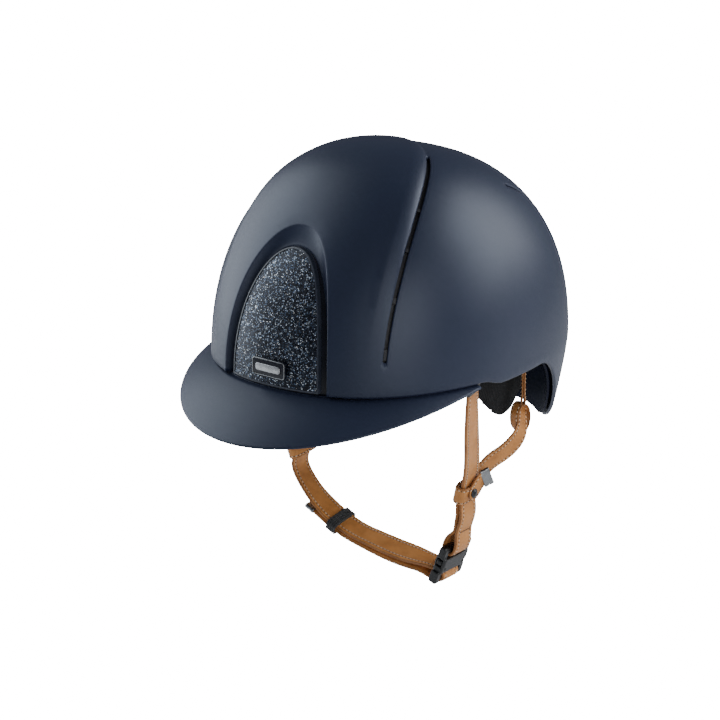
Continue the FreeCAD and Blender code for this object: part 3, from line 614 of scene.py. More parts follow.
TAN = (0.525, 0.222, 0.064)
TAN_DEEP = (0.415, 0.164, 0.042)
M = {
    "shell": painted_shell("shell_navy", (0.0120, 0.0170, 0.0390), (0.0145, 0.0200, 0.0450), 0.44),
    "visor": painted_shell("peak_navy", (0.0120, 0.0170, 0.0390), (0.0145, 0.0200, 0.0450), 0.47),
    # Painted shade: a much darker copy of the shell's navy lacquer, for the nape guard inside the shell.
    "inner": painted_shell("inner_navy", (0.0006, 0.0016, 0.0095), (0.0009, 0.0022, 0.0120), 0.60, 0.08),
    "bezel": gloss_bezel(),
    "frame": moulded("frame_navy", (0.0160, 0.0200, 0.0310), (0.0220, 0.0270, 0.0400), 0.34),
    "glitter": glitter(),
    "bright": metal("bright_metal", (0.56, 0.57, 0.58), 0.26),
    "clip": metal("clip_metal", (0.30, 0.31, 0.32), 0.26),
    "dark_steel": metal("dark_steel", (0.060, 0.062, 0.066), 0.30),
    "grille": moulded("grille_black", (0.0035, 0.0040, 0.0060), (0.0060, 0.0065, 0.0095), 0.6),
    "foam": bead_foam(),
    "knit": knit("knit_black", (0.0012, 0.0013, 0.0016), (0.0170, 0.0175, 0.0195), 2.0, "Y"),
    "hook": fuzzy("hook_loop", (0.006, 0.006, 0.006), (0.03, 0.03, 0.03)),
    "tan": leather("leather_tan", TAN, TAN_DEEP),
    "tan_edge": leather("leather_edge", (0.300, 0.125, 0.040), (0.200, 0.080, 0.026), 0.55),
    "thread": thread("thread_tan", (0.860, 0.670, 0.470)),
    # Painted shade: near-black brown for the needle holes between the stitches.
    "hole_shade": thread("needle_hole_painted_shade", (0.030, 0.011, 0.005)),
    "thread_black": thread("thread_black", (0.020, 0.018, 0.018)),
    "sleeve": woven("webbing_grey", (0.0090, 0.0092, 0.0090), (0.0360, 0.0365, 0.0350), 0.9),
    "elastic": woven("elastic_black", (0.0025, 0.0025, 0.0028), (0.0110, 0.0110, 0.0120), 0.7),
    "buckle": moulded("buckle_black", (0.0020, 0.0021, 0.0024), (0.0034, 0.0035, 0.0040), 0.42),
}
STRAP_FINISH = [M["tan"], M["tan_edge"], M["thread"], M["hole_shade"]]


# ---------------------------------------------------------------- shell
CHART_RADIUS = 125.0         # the dome is laid out flat round its crown for triangulation
GRID_STEP = 4.2
CLEAR_OF_ROWS = 2.3
ROW_STEP = 2.4


def to_chart(p):
    z = p[..., 2]
    rho = np.where(z >= 0.0, CHART_RADIUS * np.arccos(np.clip(z / CROWN_HEIGHT, -1.0, 1.0)),
                   CHART_RADIUS * 0.5 * np.pi - z)
    turn = np.arctan2(p[..., 1], p[..., 0])
    return np.stack([rho * np.cos(turn), rho * np.sin(turn)], axis=-1)


def from_chart(q):
    rho = np.hypot(q[..., 0], q[..., 1])
    z = np.where(rho <= CHART_RADIUS * 0.5 * np.pi, CROWN_HEIGHT * np.cos(rho / CHART_RADIUS),
                 CHART_RADIUS * 0.5 * np.pi - rho)
    return np.degrees(np.arctan2(q[..., 1], q[..., 0])), z


def resample(points, step):
    run = np.concatenate([[0.0], np.cumsum(np.linalg.norm(np.diff(points, axis=0), axis=1))])
    at = np.linspace(0.0, run[-1], max(int(round(run[-1] / step)), 2) + 1)
    return np.stack([np.interp(at, run, points[:, c]) for c in range(points.shape[1])], axis=1)


def cover_raise(y):
    return LIP_RAISE * smooth((y - LIP_CENTRE_Y) / LIP_RISE_LENGTH)


def inside_cover(p):
    t = np.maximum((p[..., 1] - LIP_CENTRE_Y) / LIP_LENGTH, 0.0)
    reach = (np.abs(p[..., 0]) / LIP_HALF_WIDTH) ** LIP_POWER + t ** LIP_POWER
    return (p[..., 1] > LIP_CENTRE_Y) & (reach < 1.0)


def lip_rows():
    """Rows beside the front cover's edge: the rounded lip, the wall below it and the slot's far edge.
    Returns distances, points [row, place] and offsets [row, place]."""
    turn = np.linspace(0.0, np.pi, 4000)
    c, s = np.cos(turn), np.sin(turn)
    x = np.sign(c) * LIP_HALF_WIDTH * np.abs(c) ** (2.0 / LIP_POWER)
    y = LIP_CENTRE_Y + LIP_LENGTH * s ** (2.0 / LIP_POWER)
    keep = y >= SLOT_START_Y
    line = resample(above(x[keep], y[keep]), ROW_STEP)
    line = on_dome(line, dome_normal(line))
    off = dome_normal(line)
    beside = unit(np.cross(tangents(line), off))
    raised = cover_raise(line[:, 1])
    steep = np.minimum(raised / 2.5, 1.0)
    places, offsets = [], []
    distances = [-10.0, -8.0, -6.2, -4.6, -3.2, -2.0, -1.1, -0.5, -0.15, 0.06,
                 SLOT_NEAR, SLOT_FAR, SLOT_FAR + 0.3, SLOT_FAR + 0.8]
    fall = [0.0, 0.10, 0.30, 0.58, 0.92, 1.32, 1.75, 2.15, 2.55, 3.1, None, None, None, None]
    slotted = (line[:, 1] <= SLOT_END_Y).astype(float)
    for distance, drop in zip(distances, fall):
        p = line + beside * distance
        places.append(on_dome(p, off))
        if drop is not None:
            offsets.append(raised - np.minimum(drop, 3.2) * steep)
        elif distance == SLOT_FAR:
            offsets.append(-0.35 * slotted)
        elif distance == SLOT_FAR + 0.3:
            offsets.append(-0.06 * slotted)
        else:
            offsets.append(np.zeros(len(line)))
    return distances, np.array(places), np.array(offsets), line[:, 1]


def arch(half_width, top_z, step, foot_z=0.0):
    """Arch outline on the dome's front, from the left foot over the top to the right foot."""
    turn = np.linspace(0.0, np.pi, 3000)
    c, s = np.cos(turn), np.sin(turn)
    x = np.sign(c) * half_width * np.abs(c) ** (2.0 / ARCH_POWER_OUT)
    z = np.abs(s) ** (2.0 / ARCH_POWER_UP) * top_z
    keep = z >= foot_z
    x, z = x[keep], z[keep]
    a = HALF_WIDTH * draw_in(z, CROWN_HEIGHT, SIDE_POWER)
    b = FRONT_LENGTH * draw_in(z, CROWN_HEIGHT, FRONT_POWER)
    y = -b * (1.0 - (np.abs(x) / a) ** PLAN_POWER) ** (1.0 / PLAN_POWER)
    return resample(np.stack([x, y, z], axis=1), step)


def recess_rows():
    """Rows of the scooped wall round the front panel, from the shell's face to the bezel."""
    shares = [-0.30, -0.13, -0.05, 0.0, 0.06, 0.18, 0.34, 0.52, 0.72, 0.88, 1.0]
    offsets = [0.0, -0.03, -0.16, -0.42]
    rows = []
    for k, share in enumerate(shares):
        if share <= 0.0:
            grow = -share * 5.0
            row = arch(RECESS_HALF_WIDTH + grow, RECESS_TOP_Z + grow, ROW_STEP, RIM_FRONT_Z)
            offset = offsets[k]
        else:
            half = RECESS_HALF_WIDTH + (SCOOP_HALF_WIDTH - RECESS_HALF_WIDTH) * share
            top = RECESS_TOP_Z + (SCOOP_TOP_Z - RECESS_TOP_Z) * share
            row = arch(half, top, ROW_STEP, RIM_FRONT_Z)
            offset = -0.42 - (SCOOP_DEPTH - 0.42) * (1.0 - (1.0 - share) ** 1.8)
        rows.append((row, offset))
    return rows


def rear_slot_rows(sign):
    """Far and near edges of one exhaust slot behind the crown, as a closed loop, and the rows beside it."""
    t = np.linspace(0.0, 1.0, 30)
    y, x = 48.0 + 66.0 * t, 64.0 - 15.0 * t * t
    rows = {}
    for side in (-1.0, 1.0):
        for grow, offset in ((1.1, -0.35), (1.45, -0.05), (2.0, 0.0)):
            rows[side, grow] = (above(sign * (x + side * grow), y), offset)
    return rows


def shell_piece():
    """The hard shell: both faces share one flat triangulation whose rows follow every edge."""
    places, outer, inner, chains, walls = [], [], [], [], []

    def put(points, out, into=None):
        out = np.broadcast_to(np.asarray(out, float), (len(points),))
        into = -SHELL_THICKNESS if into is None else into
        start = sum(len(p) for p in places)
        places.append(points)
        outer.append(out)
        inner.append(np.broadcast_to(np.asarray(into, float), (len(points),)))
        return list(range(start, start + len(points)))

    def chain(ids, wall=False):
        for a, b in zip(ids, ids[1:]):
            chains.append((a, b))
            if wall:
                walls.append((a, b))

    distances, lip, lip_offsets, lip_y = lip_rows()
    rows = []
    for k, distance in enumerate(distances):
        into = -SHELL_THICKNESS - (lip_offsets[k] if distance >= SLOT_FAR else 0.0)
        rows.append(put(lip[k], lip_offsets[k], into))
        chain(rows[-1])
    near, far = rows[distances.index(SLOT_NEAR)], rows[distances.index(SLOT_FAR)]
    low = [i for i, y in enumerate(lip_y) if y <= SLOT_END_Y]
    halves = [[i for i in low if i < len(lip_y) // 2], [i for i in low if i >= len(lip_y) // 2]]
    for half in halves:
        chain([near[i] for i in half], wall=True)
        chain([far[i] for i in half], wall=True)
        for end in (half[0], half[-1]):
            middle = lip[distances.index(SLOT_NEAR)][end] * 0.5 + lip[distances.index(SLOT_FAR)][end] * 0.5
            across = put(middle[None, :], -0.1)
            chain([near[end], across[0], far[end]], wall=True)

    feet = []
    scoop = recess_rows()
    for k, (row, offset) in enumerate(scoop):
        last = k == len(scoop) - 1
        into = max(offset - SHELL_THICKNESS, -SCOOP_DEPTH - 0.12)
        ids = put(row, offset, into)
        chain(ids, wall=last)
        feet.append((ids[0], ids[-1]))

    start = np.degrees(np.arctan2(scoop[0][0][0][1], scoop[0][0][0][0])) + 0.12
    turn = np.linspace(start, 180.0 - start, 230)
    rim_ids = []
    for rise, offset in ((1.1, 0.0), (0.38, -0.22), (0.0, -0.85)):
        ids = put(dome(turn, rim_z(turn) + rise), offset, -SHELL_THICKNESS - offset)
        chain(ids, wall=rise == 0.0)
        rim_ids.append(ids)
    left = [rim_ids[-1][0]] + [f[0] for f in feet]
    right = [rim_ids[-1][-1]] + [f[1] for f in feet]
    chain(left, wall=True)
    chain(right, wall=True)

    for sign in (1.0, -1.0):
        slits = rear_slot_rows(sign)
        ids = {}
        for key, (row, offset) in slits.items():
            ids[key] = put(row, offset, -SHELL_THICKNESS - offset)
            chain(ids[key], wall=key[1] == 1.1)
        for end in (0, -1):
            chain([ids[-1.0, 1.1][end], ids[1.0, 1.1][end]], wall=True)

    flat = to_chart(np.concatenate(places))
    tree = kdtree.KDTree(len(flat))
    for i, q in enumerate(flat):
        tree.insert((q[0], q[1], 0.0), i)
    tree.balance()
    reach = CHART_RADIUS * 0.5 * np.pi + 75.0
    count = int(reach / GRID_STEP)
    grid = []
    for i in range(-count, count + 1):
        for j in range(-int(count * 1.16), int(count * 1.16) + 1):
            q = ((i + 0.5 * (j % 2)) * GRID_STEP, j * GRID_STEP * 0.866)
            bearing, z = from_chart(np.array(q))
            if z < rim_z(bearing) + 2.2:
                continue
            if tree.find((q[0], q[1], 0.0))[2] > CLEAR_OF_ROWS:
                grid.append(q)
    grid = np.array(grid)
    bearing, z = from_chart(grid)
    spots = dome(bearing, z)
    put(spots, np.where(inside_cover(spots), cover_raise(spots[:, 1]), 0.0))

    flat = to_chart(np.concatenate(places))
    made = geometry.delaunay_2d_cdt([Vector(q) for q in flat], chains, [], 0, 1e-7)
    coords, faces, origin = made[0], made[2], made[3]
    source = [ids[0] if ids else -1 for ids in origin]
    first = {}
    for new, aliases in enumerate(origin):
        for alias in aliases:
            first[alias] = new
    barrier = {frozenset((first[a], first[b])) for a, b in walls if a in first and b in first}
    beside = {}
    for f, face in enumerate(faces):
        for a, b in zip(face, face[1:] + face[:1]):
            beside.setdefault(frozenset((a, b)), []).append(f)
    crown = min(range(len(faces)), key=lambda f: sum(Vector(coords[v]).length for v in faces[f]))
    kept, queue = {crown}, [crown]
    while queue:
        face = faces[queue.pop()]
        for a, b in zip(face, face[1:] + face[:1]):
            edge = frozenset((a, b))
            if edge in barrier:
                continue
            for other in beside[edge]:
                if other not in kept:
                    kept.add(other)
                    queue.append(other)
    all_outer, all_inner = np.concatenate(outer), np.concatenate(inner)
    used = sorted({v for f in kept for v in faces[f]})
    fresh = {v: i for i, v in enumerate(used)}
    ids = np.array([max(source[v], 0) for v in used])
    where = np.array([tuple(coords[v]) for v in used])
    bearing, z = from_chart(where)
    base = dome(bearing, z)
    off = dome_normal(base)
    outer_points = base + off * all_outer[ids][:, None]
    inner_points = base + off * all_inner[ids][:, None]
    number = len(used)
    top = [tuple(fresh[v] for v in faces[f]) for f in sorted(kept)]
    shell = Build()
    both = top + [tuple(number + v for v in reversed(face)) for face in top]
    seen = {}
    for face in top:
        for a, b in zip(face, face[1:] + face[:1]):
            seen[a, b] = True
    for a, b in seen:
        if (b, a) not in seen:
            both.append((b, a, number + a, number + b))
    shell.add(np.concatenate([outer_points, inner_points]), both)
    piece = shell.make("shell_lacquered", [M["shell"]])
    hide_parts("outer_shell")
    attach(piece, "helmet")


# ---------------------------------------------------------------- peak
def peak_piece():
    """The peak: crowned upper face, rounded free edge, the hidden flange that is screwed inside the shell,
    and the ledge of its root under the front panel."""
    low, high = box_mm("visor")
    half_width, root_z, root_bearing = high[0], 2.2, -18.6
    end_y, tip_drop, drop_power, crown = -34.0, 24.0, 1.3, 2.2
    reach = -low[1] + end_y
    thick_root, thick_edge = 2.6, 1.7
    count, out = 120, 18
    peak = Build()
    loops = []
    for i in range(count + 1):
        angle = math.pi * i / count
        side = math.sin(angle)
        root = dome(root_bearing - (180.0 + 2.0 * root_bearing) * i / count, root_z, -3.6)
        drop = 1.0 - tip_drop * side ** drop_power
        edge = np.array([half_width * math.cos(angle), end_y - reach * side, drop])
        away = unit(edge - root)
        t = np.sin(np.linspace(0.0, 1.0, out + 1) * 0.5 * np.pi)[:, None]
        length = np.linalg.norm(edge - root)
        swell = UPWARDS * crown * side * 4.0 * t * (1.0 - t)
        upper = root + away * (t * (length - 0.5 * thick_edge)) + swell
        thick = thick_root + (thick_edge - thick_root) * t
        lower = upper - UPWARDS * thick
        centre = 0.5 * (upper[-1] + lower[-1])
        nose = []
        for turn in np.radians(np.linspace(64.0, -64.0, 7)):
            nose.append(centre + 0.5 * thick_edge * (math.cos(turn) * away + math.sin(turn) * UPWARDS))
        loops.append(np.concatenate([upper, nose, lower[::-1]]))
    loops = np.array(loops)
    rows, columns = loops.shape[:2]
    peak.add(loops, grid_faces(rows, columns, wrap_columns=True) + flat_caps(rows, columns))
    flange = ((0.6, -2.9), (12.0, -2.9), (12.0, -4.3), (0.6, -4.3))
    ledge = ((-0.2, -3.2), (2.15, -3.2), (2.15, -5.5), (-0.2, -5.5))
    for first, last, corners in ((-20.0, -66.0, flange), (-114.0, -160.0, flange), (-64.0, -116.0, ledge)):
        turn = np.linspace(first, last, 40)
        ring = np.stack([dome(turn, z, offset) for z, offset in corners], axis=1)
        faces = grid_faces(len(turn), 4, wrap_columns=True) + [(0, 1, 2, 3)]
        end = (len(turn) - 1) * 4
        peak.add(ring, faces + [(end, end + 1, end + 2, end + 3)])
    piece = peak.make("peak_lacquered", [M["visor"]])
    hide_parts("visor")
    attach(piece, "helmet")


# ---------------------------------------------------------------- badge
def rounded_outline(width, height, radius, corner=6):
    points = []
    for k, (sx, sz) in enumerate(((1, 1), (-1, 1), (-1, -1), (1, -1))):
        for i in range(corner + 1):
            turn = 0.5 * math.pi * (k + i / corner)
            points.append((sx * (0.5 * width - radius) + radius * math.cos(turn),
                           sz * (0.5 * height - radius) + radius * math.sin(turn)))
    return np.array(points)


def lofted(build, stations, material=0):
    """Closed piece through outlines that share one layout; both ends are closed with a face."""
    stations = np.array(stations)
    rows, columns = stations.shape[:2]
    faces = grid_faces(rows, columns, wrap_columns=True)
    faces += [tuple(range(columns)), tuple((rows - 1) * columns + j for j in reversed(range(columns)))]
    build.add(stations, faces, material)


def plate_in_front(build, centre_x, centre_z, front_y, depth, width, height, radius, edge, material=0):
    """Rounded plate facing the front, with an edge of that radius round its face."""
    stations = []
    profile = ((depth, 0.0), (edge, 0.0), (0.45 * edge, 0.12 * edge), (0.12 * edge, 0.45 * edge), (0.0, edge))
    for back, shrink in profile:
        outline = rounded_outline(width - 2.0 * shrink, height - 2.0 * shrink, max(radius - shrink, 0.15))
        stations.append([(centre_x + u, front_y + back, centre_z + v) for u, v in outline])
    lofted(build, stations, material)


def badge_pieces():
    """A plain badge: dark base with a thin metal rim, and a smooth bright bar on it."""
    low, high = box_mm("badge_base")
    centre_x, centre_z = 0.5 * (low[0] + high[0]), 0.5 * (low[2] + high[2])
    width, height, front = high[0] - low[0], high[2] - low[2], low[1]
    base = Build()
    plate_in_front(base, centre_x, centre_z, front, high[1] - front - 2.4, width, height, 2.2, 0.35)
    piece = base.make("badge_base_moulded", [M["bezel"]])
    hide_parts("badge_base")
    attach(piece, "helmet")
    rim = Build()
    sections = []
    for grow, back in ((-0.25, 0.1), (-0.25, -0.22), (-0.55, -0.32), (-0.85, -0.22), (-0.85, 0.1)):
        outline = rounded_outline(width + 2.0 * grow, height + 2.0 * grow, 2.2 + grow)
        sections.append([(centre_x + u, front + back, centre_z + v) for u, v in outline])
    sections = np.array(sections)
    rim.add(sections, grid_faces(len(sections), sections.shape[1], wrap_rows=True, wrap_columns=True))
    piece = rim.make("badge_rim", [M["clip"]])
    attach(piece, "helmet")
    low, high = box_mm("badge_plate")
    bar = Build()
    width, depth, height = high - low
    plate_in_front(bar, centre_x, centre_z, low[1], depth, width, height, 1.6, 0.45)
    piece = bar.make("badge_bar", [M["bright"]])
    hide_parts("badge_plate")
    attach(piece, "helmet")


# ---------------------------------------------------------------- harness
LEAN = math.radians(20.4)    # of the buckle from upright
BUCKLE = np.array([58.5, LOOP_Y, -140.3])
BAR_OFFSET = 11.5
LAYER_STEP = 3.3
KEEPER_CENTRE = (-1.3, -54.3)
KEEPER_RADIUS = 87.4
KEEPER_BEARING = -23.4
SEAM_U = 0.5 * STRAP_WIDTH - 3.0    # stitch lines, from the strap's middle
SOCKET_TURN = 4.4            # from the middle of each bar to the middle of the strap's turn round it
PLUG_TURN = 3.6


def in_buckle(x, y, z):
    c, s = math.cos(LEAN), math.sin(LEAN)
    return BUCKLE + np.array([x * c + z * s, y, z * c - x * s])


def keeper_arc(radius, angle):
    turn = math.radians(KEEPER_BEARING + angle)
    return (KEEPER_CENTRE[0] + radius * math.sin(turn), LOOP_Y, KEEPER_CENTRE[1] - radius * math.cos(turn))


def flipped(rows, sign):
    rows = np.array(rows, float)
    rows[:, 0] *= sign
    rows[:, 3] *= sign
    return rows


def strap_piece(name, rows, nodes, section=None, closed=False, stitches=(1.0,), step=1.2,
                finish=None, inset=SEAM_U, end_skip=3.0, body="helmet", ends=None):
    """A leather strap along rows of place, width direction and width scale, with its stitching."""
    points, is_edge = section or leather_section(STRAP_WIDTH, STRAP_THICKNESS)
    data = smooth_path(rows, step, closed)
    path, across, widths = data[:, :3], data[:, 3:6], data[:, 6].copy()
    if ends:
        run = np.concatenate([[0.0], np.cumsum(np.linalg.norm(np.diff(path, axis=0), axis=1))])
        for distance in ((run[-1] - run) if "last" in ends else None, run if "first" in ends else None):
            if distance is not None:
                near = np.clip(1.0 - distance / 5.0, 0.0, 1.0)
                widths = widths * np.sqrt(np.maximum(1.0 - near ** 2.6, 0.09))
    build = Build()
    dirs = sweep(build, path, across, widths, points, is_edge, closed)
    top = np.max(points[:, 1])
    for side in stitches:
        for sign in (1.0, -1.0):
            stitch(build, path, dirs, sign * inset * widths, side * (top - 0.14), end_skip=end_skip)
    piece = build.make(name, finish or STRAP_FINISH)
    if nodes:
        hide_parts(*nodes)
    if body:
        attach(piece, body)
    return piece


def ring_rows(centre, half_u, half_v, direction_u, direction_v, power=2.0, count=36):
    """Rows for a closed band: an oval in the plane of two directions, with its width along the third."""
    u, v = unit(direction_u), unit(direction_v)
    axis = unit(np.cross(u, v))
    t = 2.0 * np.pi * np.arange(count) / count
    c, s = np.cos(t), np.sin(t)
    x = np.sign(c) * np.abs(c) ** (2.0 / power) * half_u
    y = np.sign(s) * np.abs(s) ** (2.0 / power) * half_v
    places = np.asarray(centre, float) + x[:, None] * u + y[:, None] * v
    places = resample(np.concatenate([places, places[:1]]), 1.6)[:-1]
    ones = np.ones((len(places), 1))
    return np.concatenate([places, ones * axis, ones], axis=1)


def clip_piece(name, end, along, across, length, inset, width, thickness, node, body):
    """Metal clip crimped over the end of a strap, with a pressed waist and rounded corners."""
    along, across = unit(along), unit(across)
    across = unit(across - along * np.dot(across, along))
    normal = np.cross(along, across)
    stations = []
    profile = ((0.0, 0.45), (0.03, 0.15), (0.08, 0.0), (0.34, 0.0), (0.42, 0.22),
               (0.52, 0.22), (0.60, 0.0), (0.90, 0.0), (0.96, 0.2), (1.0, 0.6))
    for t, shrink in profile:
        corner = max(0.42 * thickness - shrink, 0.2)
        outline = rounded_outline(width - 2.0 * shrink, thickness - 2.0 * shrink, corner)
        centre = np.asarray(end, float) + along * (t * length - inset)
        stations.append([centre + across * u + normal * v for u, v in outline])
    clip = Build()
    lofted(clip, stations)
    piece = clip.make(name, [M["clip"]])
    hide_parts(node)
    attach(piece, body)


def front_straps():
    top = [
        (94.1, -28.55, 9.0, -0.24, 1, 0, 0.94), (93.8, -28.4, 0.0, -0.23, 1, 0, 0.94),
        (93.0, -28.0, -12.0, -0.22, 1, 0, 0.97), (86.7, -19.0, -42.0, -0.14, 1, 0, 1),
        (80.4, -9.9, -66.0, -0.1, 1, 0, 1), (73.6, -3.0, -84.0, -0.06, 1, 0, 1),
        (71.8, -2.0, -94.0, -0.04, 1, 0, 1),
    ]

    def at(x, z, tilt=0.0, width=1.0):
        return (x, LOOP_Y, z, 0.0, math.cos(math.radians(tilt)), math.sin(math.radians(tilt)), width)

    def buckle(x, z):
        p = in_buckle(x, 0.0, z)
        return (p[0], LOOP_Y, p[2], 0.0, 1.0, 0.0, 1.0)

    turn = [buckle(SOCKET_TURN * math.cos(a), BAR_OFFSET - SOCKET_TURN * math.sin(a))
            for a in np.linspace(0.0, np.pi, 7)]
    left = top + [at(72.2, -99.0), at(72.3, -104.0), at(71.0, -110.5), at(69.0, -117.0)]
    left += [buckle(SOCKET_TURN, 16.4)] + turn + [buckle(-SOCKET_TURN, 16.4), at(62.6, -119.9)]
    left += [at(66.6, -116.2), at(68.0, -110.5), at(69.0, -104.0), at(69.2, -95.5)]
    piece = strap_piece(
        "harness_strap_left", left,
        ["front_strap_left", "buckle_strap_outer", "buckle_strap_inner", "buckle_strap_fold"],
        body=None, stitches=(1.0,))
    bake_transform(piece)
    tack = Build()
    down, across, out = unit((-2.0, 0.0, -6.8)), np.array((0.0, 1.0, 0.0)), unit((6.8, 0.0, -2.0))
    for step in range(7):
        centre = np.array((69.2, LOOP_Y - 5.4 + 1.8 * step, -116.6)) + out * 1.12
        tack.add(*bead(centre, across, down, out, 1.5, 0.34, flat=0.8))
    piece = tack.make("cross_stitches", [M["thread_black"]])
    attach(piece, "chin_loop")

    right = [(-r[0], r[1], r[2], -r[3], r[4], r[5], r[6]) for r in top]
    right += [at(-72.9, -99.0), at(-71.6, -104.6), at(-67.6, -110.8, 2.0), at(-60.6, -118.6, 6.0)]
    arc = [keeper_arc(KEEPER_RADIUS, a) for a in (-12.0, -8.0, -4.0, 0.0)]
    right += [(p[0], p[1], p[2], *at(0, 0, tilt)[3:6], 1.0) for p, tilt in zip(arc, (12.0, 15.0, 15.0, 15.0))]
    piece = strap_piece("harness_strap_right", right, ["front_strap_right"], body=None, stitches=(1.0, -1.0))
    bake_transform(piece)

    arc = [keeper_arc(KEEPER_RADIUS, a) for a in (0.0, 4.0, 8.0, 12.0)]
    chin = [(p[0], p[1], p[2], *at(0, 0, 15.0)[3:6], 1.0) for p in arc]
    chin += [at(-6.0, -141.9, 17.0), at(12.0, -144.2, 20.0), at(28.0, -145.3, 17.0), at(37.0, -145.8, 9.0),
             at(46.0, -146.6, 2.0)]
    bar = in_buckle(0.0, 0.0, -BAR_OFFSET)
    for a in np.radians(np.linspace(98.0, -82.0, 9)):
        chin.append((
            bar[0] + PLUG_TURN * math.cos(a), LOOP_Y, bar[2] + PLUG_TURN * math.sin(a), 0.0, 1.0, 0.0, 1.0))
    chin += [at(46.0, -153.6, 2.0), at(38.0, -150.9, 9.0), at(28.0, -149.6, 17.0), at(12.0, -148.3, 20.0),
             at(-5.0, -145.9, 17.0)]
    chin += [(p[0], p[1], p[2], *at(0, 0, 15.0)[3:6], 1.0)
             for p in (keeper_arc(KEEPER_RADIUS + LAYER_STEP, a) for a in (12.0, 8.0, 4.0, 0.0, -4.0))]
    chin += [at(-51.5, -131.0, 10.0), at(-60.0, -126.9, 6.0)]
    piece = strap_piece("chin_strap_leather", chin, ["chin_strap", "chin_strap_fold", "chin_strap_tail"],
                        body=None, stitches=(1.0,), end_skip=8.0)
    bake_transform(piece)
    clip_piece("chin_strap_end_clip", (-60.0, LOOP_Y, -126.9), (-8.5, 0, 4.1), (0.0, 0.995, 0.1), 8.0, 7.0,
               19.6, 3.7, "chin_strap_tip", "chin_loop")


def harness_tops():
    for side, sign in (("left", 1.0), ("right", -1.0)):
        rows = flipped([(94.3, -28.6, 12.0, -0.24, 1, 0, 1), (94.0, -28.5, 2.0, -0.23, 1, 0, 1),
                        (93.4, -28.2, -6.5, -0.22, 1, 0, 0.97)], sign)
        section = leather_section(STRAP_WIDTH + 1.4, STRAP_THICKNESS + 1.6, groove=0.0, crown=0.25)
        strap_piece("sleeve_" + side, rows, ["strap_sleeve_" + side], section, stitches=(),
                    finish=[M["sleeve"], M["sleeve"]], step=0.9)
        rows = ring_rows((sign * 85.2, 39.4, -43.8), 5.2, 9.6, (sign * 0.26, 0.966, 0.0), (0, 0, 1))
        strap_piece("rear_loop_leather_" + side, rows, ["rear_loop_" + side],
                    leather_section(9.0, 1.6, 1.7, 0.12, 0.1), closed=True, inset=2.8, end_skip=0.5)
        rows = ring_rows((sign * 86.4, 40.6, -20.6), 1.6, 14.6, (sign * 0.79, 0.613, 0), (0, 0, 1), 2.6)
        pinch = 1.0 - 0.55 * smooth((rows[:, 2] + 33.0) / 6.0)
        rows[:, 0] = sign * 86.4 + (rows[:, 0] - sign * 86.4) * pinch
        rows[:, 1] = 40.6 + (rows[:, 1] - 40.6) * pinch
        strap_piece("rear_tab_leather_" + side, rows, ["rear_tab_" + side],
                    leather_section(9.0, 1.2, 1.6, 0.1, 0.08), closed=True, inset=2.9, end_skip=0.5)
        rows = flipped([
            (85.6, 41.0, -36.2, 0.26, 0.96, 0.1, 0.40), (88.0, 37.6, -46.0, 0.3, 0.9, -0.2, 0.52),
            (89.2, 33.4, -53.4, 0.2, 0.8, -0.5, 0.76), (87.0, 28.2, -60.2, 0.1, 0.7, -0.68, 0.92),
            (83.0, 21.8, -65.8, 0.0, 0.6, -0.78, 0.96), (78.8, 15.4, -70.2, 0.0, 0.6, -0.75, 0.96),
            (74.6, 8.8, -77.2, 0.0, 0.78, -0.62, 0.94), (71.4, 3.4, -82.8, 0.0, 0.88, -0.47, 0.92),
            (70.1, 0.2, -88.6, 0.0, 0.95, -0.3, 0.90)], sign)
        strap_piece("rear_strap_leather_" + side, rows, ["rear_strap_" + side],
                    leather_section(16.0, 1.8, 2.6), inset=5.4, stitches=(1.0, -1.0))


def junctions():
    for side, sign in (("left", 1.0), ("right", -1.0)):
        along = unit((-3.0 * sign, 1.0, -10.5))
        across = unit(np.array((-0.06 * sign, 1.0, 0.0)) - along * np.dot((-0.06 * sign, 1.0, 0.0), along))
        through = np.cross(along, across)
        rows = ring_rows((sign * 71.9, LOOP_Y, -87.0), 11.4, 4.3, across, through, 3.4, 72)
        strap_piece("collar_leather_" + side, rows, ["junction_collar_" + side],
                    leather_section(13.0, 1.8, 1.7, 0.14, 0.16),
                    closed=True, inset=4.8, end_skip=0.5, stitches=(1.0, -1.0))
        path = [(78.2, -8.8, -88.2), (78.4, -4.4, -87.0), (79.0, -0.4, -83.2),
                (80.4, 3.2, -79.2), (83.4, 7.6, -77.0)]
        widths = [(0, 0.0, 1), (0, -0.3, 1), (0, -0.6, 0.8), (0, -0.5, 0.9), (-0.1, -0.3, 1)]
        rows = flipped([(*p, *w, 1) for p, w in zip(path, widths)], sign)
        strap_piece("flap_leather_" + side, rows, ["junction_flap_" + side],
                    leather_section(11.6, 1.5, 1.8, 0.13, 0.12),
                    inset=4.0, stitches=(1.0, -1.0), ends=("first",), end_skip=5.0)
        run = np.array((3.0 * sign, 4.4, 2.2))
        clip_piece("flap_end_clip_" + side, (83.4 * sign, 7.6, -77.0), run, (-0.1 * sign, -0.3, 1),
                   7.0, 6.2, 13.0, 2.9, "junction_flap_tip_" + side, "helmet")
        stud = Build()
        stations = []
        profile = ((-0.2, 2.9), (0.0, 3.2), (0.45, 3.25), (0.8, 3.05), (0.95, 2.6),
                   (0.85, 2.35), (1.15, 2.1), (1.5, 1.4), (1.65, 0.5))
        for x, r in profile:
            stations.append([(sign * (79.05 + x), -4.6 + r * math.cos(a), -87.2 + r * math.sin(a))
                             for a in np.linspace(0.0, 2.0 * np.pi, 33)[:-1]])
        lofted(stud, stations)
        piece = stud.make("press_stud_" + side, [M["dark_steel"]])
        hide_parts("junction_stud_" + side)
        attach(piece, "helmet")


